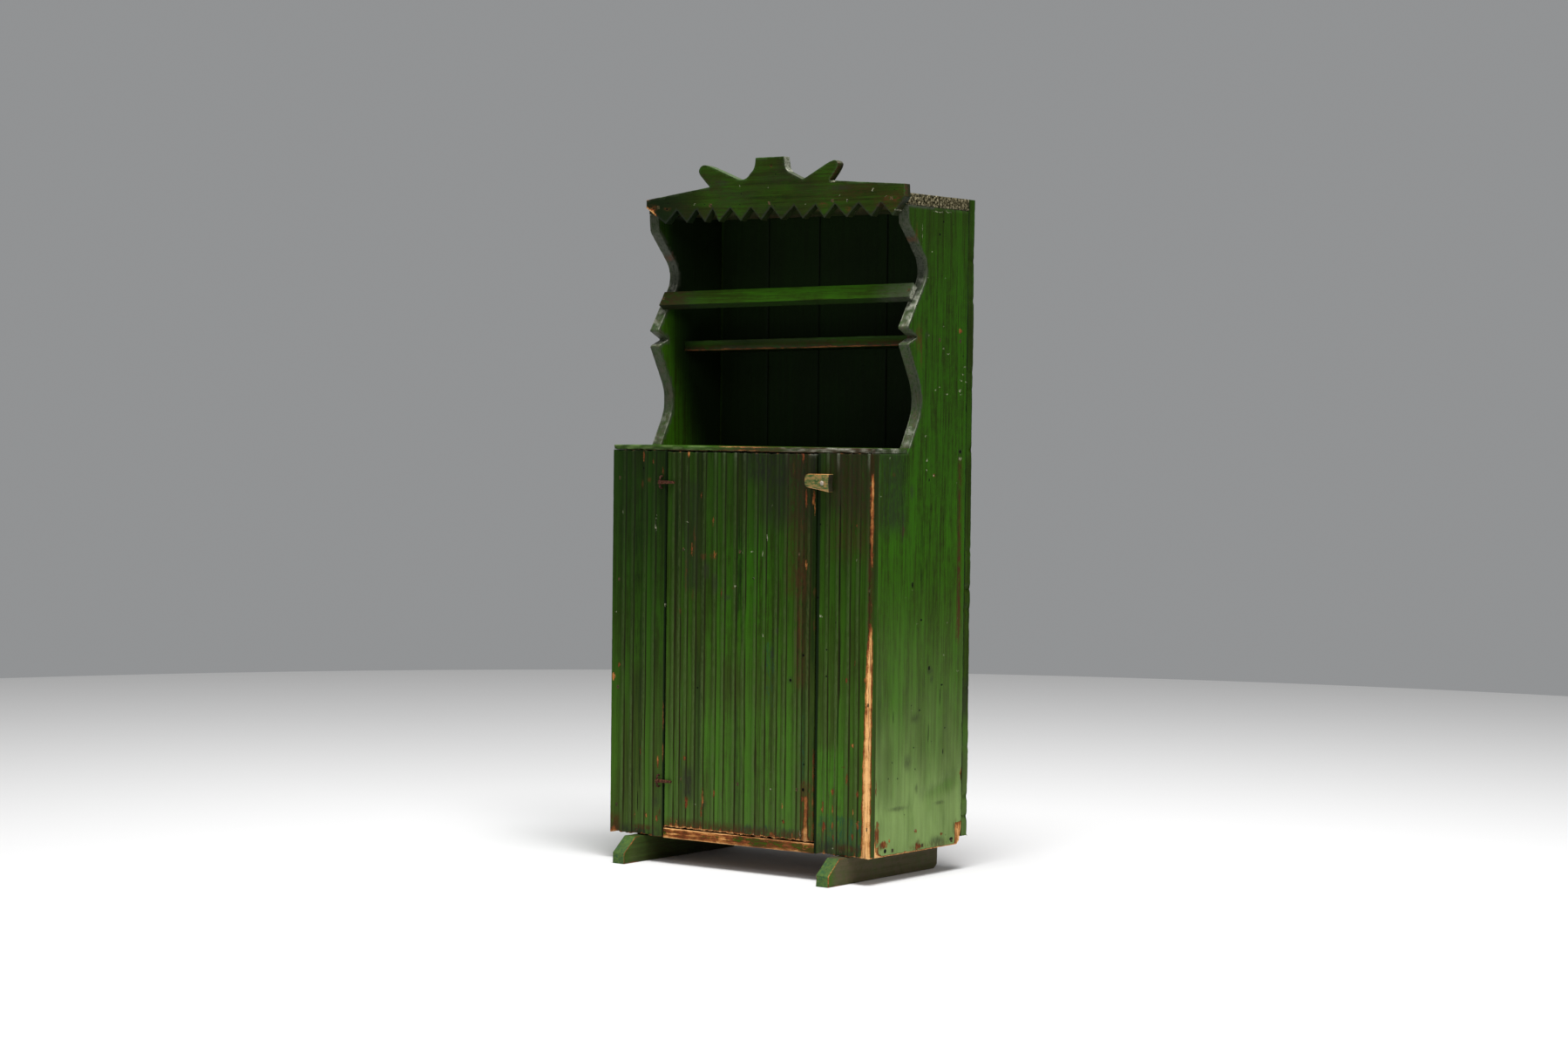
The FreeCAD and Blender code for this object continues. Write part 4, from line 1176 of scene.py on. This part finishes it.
SIDE_MARKS = {
    "raw": [
        (300, 1087, 6, 6), (212, 798, 4, 4), (162, 95, 5, 5), (52, 76, 14, 9), (28, 100, 10, 26),
        (170, 62, 12, 9), (71, 83, 4, 4), (325, 196, 4, 14), (82, 63, 3, 4), (255, 80, 6, 3),
        (24, 190, 2, 18),
    ],
    "brown": [
        (42, 74, 18, 10), (170, 68, 14, 14), (306, 500, 9, 60), (150, 1070, 12, 40), (161, 1050, 6, 60),
        (140, 1265, 7, 40), (106, 690, 8, 16), (72, 800, 7, 6), (305, 88, 16, 22),
    ],
    "dark": [
        (205, 410, 17, 13), (212, 392, 9, 14), (155, 318, 22, 14), (305, 845, 9, 9), (105, 700, 10, 50),
        (135, 765, 10, 22), (240, 68, 24, 9), (130, 232, 20, 24), (163, 178, 8, 14), (100, 143, 46, 7),
        (246, 143, 26, 6), (180, 1075, 12, 12),
    ],
    "pale": [
        (57, 832, 5, 3), (186, 827, 4, 4), (186, 809, 3, 2), (210, 798, 3, 3), (28, 758, 9, 1.2),
        (182, 876, 6, 1.5), (141, 572, 2.5, 2), (159, 505, 5, 2), (266, 503, 2.5, 2), (301, 508, 1.6, 2),
        (305, 831, 6, 5), (242, 1190, 3, 2), (182, 1188, 4, 1.5), (238, 1095, 7, 1), (188, 1075, 3, 2),
        (300, 968, 8, 5), (305, 960, 6, 2), (318, 1015, 6, 2), (312, 1000, 7, 1.2), (305, 988, 8, 1.5),
        (325, 985, 8, 3), (240, 1050, 10, 1), (258, 1040, 9, 1.2), (213, 968, 5, 1.2),
        (228, 973, 3, 1.5), (255, 960, 8, 1), (196, 1240, 3, 2), (215, 1320, 26, 1.6),
        (250, 1322, 16, 1.2), (160, 1275, 0.7, 42), (106, 1318, 4, 4), (160, 96, 5, 2), (80, 62, 4, 2),
        (308, 404, 8, 1), (255, 438, 5, 2), (333, 238, 3, 3), (143, 334, 5, 1),
    ],
    "hole": [
        (195, 789, 2, 3.5), (141, 582, 2.8, 7), (203, 415, 3, 5), (171, 333, 2.4, 2.4), (57, 64, 5, 5),
        (290, 66, 7, 4), (222, 1276, 3, 3), (311, 1037, 2, 2), (249, 379, 4, 1.8), (173, 512, 3.5, 2.5),
        (305, 845, 4, 4), (235, 1302, 3, 2), (65, 205, 1.6, 1.6), (97, 203, 1.8, 1.8),
        (152, 260, 2, 1.6), (158, 217, 1.8, 1.8), (262, 292, 1.8, 1.8), (78, 236, 1.6, 1.6),
        (256, 245, 1.6, 6), (203, 285, 1, 22), (80, 325, 1, 14), (243, 355, 0.9, 20),
    ],
}
LEFT_MARKS = {
    "raw": [
        (22, 72, 12, 12), (30, 240, 2, 20), (24, 430, 3, 12), (60, 66, 16, 6), (170, 60, 10, 6),
        (318, 74, 10, 16), (120, 150, 3, 5), (20, 700, 2, 24), (300, 980, 3, 8),
    ],
    "brown": [
        (40, 74, 20, 12), (25, 430, 6, 26), (310, 90, 16, 24), (160, 1240, 9, 40), (90, 520, 8, 34),
        (200, 66, 50, 8),
    ],
    "dark": [
        (120, 640, 26, 50), (240, 330, 22, 16), (180, 930, 14, 20), (270, 140, 34, 12),
        (90, 250, 16, 30), (230, 1160, 16, 26),
    ],
    "pale": [
        (140, 700, 4, 2), (180, 510, 10, 1), (210, 1010, 8, 1.2), (95, 360, 2, 9), (250, 820, 3, 3),
        (160, 1200, 1, 26), (60, 590, 6, 1.2), (285, 540, 2, 2), (130, 1090, 3, 1.5), (220, 210, 9, 1.5),
    ],
    "hole": [
        (150, 440, 2.4, 4), (230, 680, 2, 2), (70, 800, 2.4, 2.4), (280, 250, 2, 2),
        (200, 1230, 2.5, 2.5), (110, 300, 1, 26), (255, 600, 1, 40), (175, 150, 2, 2),
    ],
}
CREST_MARKS = {
    "raw": [(-316, 1357, 7, 3), (-302, 1336, 8, 5)],
    "brown": [
        (5, 1415, 4, 6), (290, 1340, 12, 8), (310, 1338, 10, 9), (272, 1322, 7, 12), (135, 1333, 16, 6),
        (-262, 1336, 14, 6), (-300, 1340, 18, 10), (195, 1322, 10, 8),
    ],
    "dark": [(175, 1365, 40, 8), (-120, 1385, 26, 8)],
    "pale": [
        (255, 1358, 2.2, 6), (-75, 1378, 1.6, 1.6), (-2, 1372, 2, 2), (-190, 1343, 2.5, 3),
        (194, 1339, 4, 2.5), (175, 1350, 1.6, 1.6), (90, 1336, 2, 2), (205, 1315, 2, 4),
        (310, 1318, 3, 3), (285, 1344, 3, 2), (160, 1378, 12, 1.2),
    ],
    "hole": [(194, 1338, 1.8, 1.5), (5, 1416, 1.6, 1.6), (-262, 1336, 3, 1.6)],
}

# Materials and pieces

paint_by_axis = {axis: painted(f"green_paint_{'xyz'[axis]}", axis, 1.0 + axis) for axis in (0, 1, 2)}
pine_by_axis = {axis: bare_pine(f"bare_pine_{'xyz'[axis]}", axis, 5.0 + axis) for axis in (0, 1, 2)}
front_paint = painted("green_paint_front", 2, 9.0, 0, FRONT_MARKS)
own_paint = {
    "side_board_right": painted("green_paint_side", 2, 12.0, 1, SIDE_MARKS),
    "side_board_left": painted("green_paint_left", 2, 16.0, 1, LEFT_MARKS),
    "crest_board": painted("green_paint_crest", 0, 14.0, 0, CREST_MARKS),
    "turn_button": button_paint("button_paint"),
}
nail_iron = iron("nail_iron", (0.030, 0.040, 0.014))
own_iron = {
    "hinge_strap": iron("rusty_iron", (0.062, 0.022, 0.012)),
    "hinge_staple": iron("staple_iron", (0.026, 0.011, 0.008)),
    "button_nail": iron("pale_nail", (0.420, 0.380, 0.300)),
}
BARE_STARTS = ("inner_shelf", "shelf_cleat", "door_batten")

for seed, (node, board) in enumerate(BOARDS.items()):
    points, faces, edge, wall = shape_board(node, board, seed * 1.7)
    skin = Skin(case_mm(points), face_normals_at(points, faces), edge, wall)
    piece = make_piece(node, points, faces, board_shares(node, skin))
    bare = node.startswith(BARE_STARTS)
    paint = own_paint.get(node, (pine_by_axis if bare else paint_by_axis)[board.grain])
    piece.data.materials.append(paint)

for seed, node in enumerate(("front_stile_left", "front_stile_right", "door_board")):
    points, faces, shares = shape_fluted(node, 40 + seed)
    piece = make_piece(node, points, faces, front_shares(case_mm(points), shares))
    piece.data.materials.append(front_paint)

for name, node in frame["nodes"].items():
    if node.hide_render:
        continue
    node.data.materials.clear()
    node.data.materials.append(own_iron.get(name.rsplit("_", 1)[0], own_iron.get(name, nail_iron)))


# Floor, light and camera

FLOOR_RADIUS = 5.2
FLOOR_COLOUR = (0.82, 0.82, 0.82)
BACKDROP = (0.285, 0.29, 0.295)
SKY_LIGHT = (0.17, 0.17, 0.17)
# Name, place, target, size and power
LAMPS = (
    ("overhead", (0.9, -0.9, 5.4), (0.3, 0, 0), (2.6, 2.6), 410),
    ("side", (3.6, -2.4, 2.6), (0, 0, 0.7), (1.6, 1.6), 36),
    ("front", (-0.6, -5.0, 0.9), (0, 0, 0.1), (3.0, 1.2), 18),
)


def make_floor():
    mesh = bpy.data.meshes.new("floor")
    turns = [math.tau * k / 128 for k in range(128)]
    rim = [(FLOOR_RADIUS * math.cos(t), FLOOR_RADIUS * math.sin(t), 0) for t in turns]
    mesh.from_pydata(rim, [], [tuple(range(len(rim)))])
    floor = bpy.data.objects.new("floor", mesh)
    bpy.context.scene.collection.objects.link(floor)
    tree = Tree("pale_floor")
    tree.put(tree.shader.inputs["Base Color"], FLOOR_COLOUR)
    tree.shader.inputs["Roughness"].default_value = 0.8
    mesh.materials.append(tree.material)


def make_world():
    world = bpy.data.worlds.new("studio")
    bpy.context.scene.world = world
    world.use_nodes = True
    nodes, links = world.node_tree.nodes, world.node_tree.links
    path = nodes.new("ShaderNodeLightPath")
    seen = nodes.new("ShaderNodeMath")
    seen.operation = "MAXIMUM"
    links.new(path.outputs["Is Camera Ray"], seen.inputs[0])
    links.new(path.outputs["Is Glossy Ray"], seen.inputs[1])
    mix = nodes.new("ShaderNodeMix")
    mix.data_type = "RGBA"
    mix.inputs[6].default_value = (*SKY_LIGHT, 1)
    mix.inputs[7].default_value = (*BACKDROP, 1)
    links.new(seen.outputs[0], mix.inputs["Factor"])
    background = nodes["Background"]
    links.new(mix.outputs[2], background.inputs["Color"])


def make_light(name, place, target, size, power):
    data = bpy.data.lights.new(name, "AREA")
    data.shape = "RECTANGLE"
    data.size, data.size_y = size
    data.energy = power
    lamp = bpy.data.objects.new(name, data)
    bpy.context.scene.collection.objects.link(lamp)
    lamp.location = place
    lamp.rotation_mode = "QUATERNION"
    lamp.rotation_quaternion = (Vector(target) - Vector(place)).to_track_quat("-Z", "Y")


CAMERA_AZIMUTH = math.radians(36.52)
CAMERA_PITCH = math.radians(1.71)
CAMERA_ROLL = math.radians(0.65)
CAMERA_PLACE = (3.8705, -5.2235, 0.890)
IMAGE_WIDTH = 1799
FOCAL_PIXELS = 3676
SENSOR = 36.0


def make_camera():
    data = bpy.data.cameras.new("camera")
    data.sensor_fit = "HORIZONTAL"
    data.sensor_width = SENSOR
    data.lens = FOCAL_PIXELS / IMAGE_WIDTH * SENSOR
    camera = bpy.data.objects.new("camera", data)
    bpy.context.scene.collection.objects.link(camera)
    flat = math.cos(CAMERA_PITCH)
    forward = Vector((
        -math.sin(CAMERA_AZIMUTH) * flat, math.cos(CAMERA_AZIMUTH) * flat, -math.sin(CAMERA_PITCH)
    ))
    right = forward.cross(Vector((0, 0, 1))).normalized()
    up = right.cross(forward)
    x = right * math.cos(CAMERA_ROLL) + up * math.sin(CAMERA_ROLL)
    y = up * math.cos(CAMERA_ROLL) - right * math.sin(CAMERA_ROLL)
    turn = Matrix((x, y, -forward)).transposed()
    camera.matrix_world = Matrix.Translation(CAMERA_PLACE) @ turn.to_4x4()
    bpy.context.scene.camera = camera


make_floor()
make_world()
for lamp in LAMPS:
    make_light(*lamp)
make_camera()
bpy.context.scene.view_settings.view_transform = "Standard"
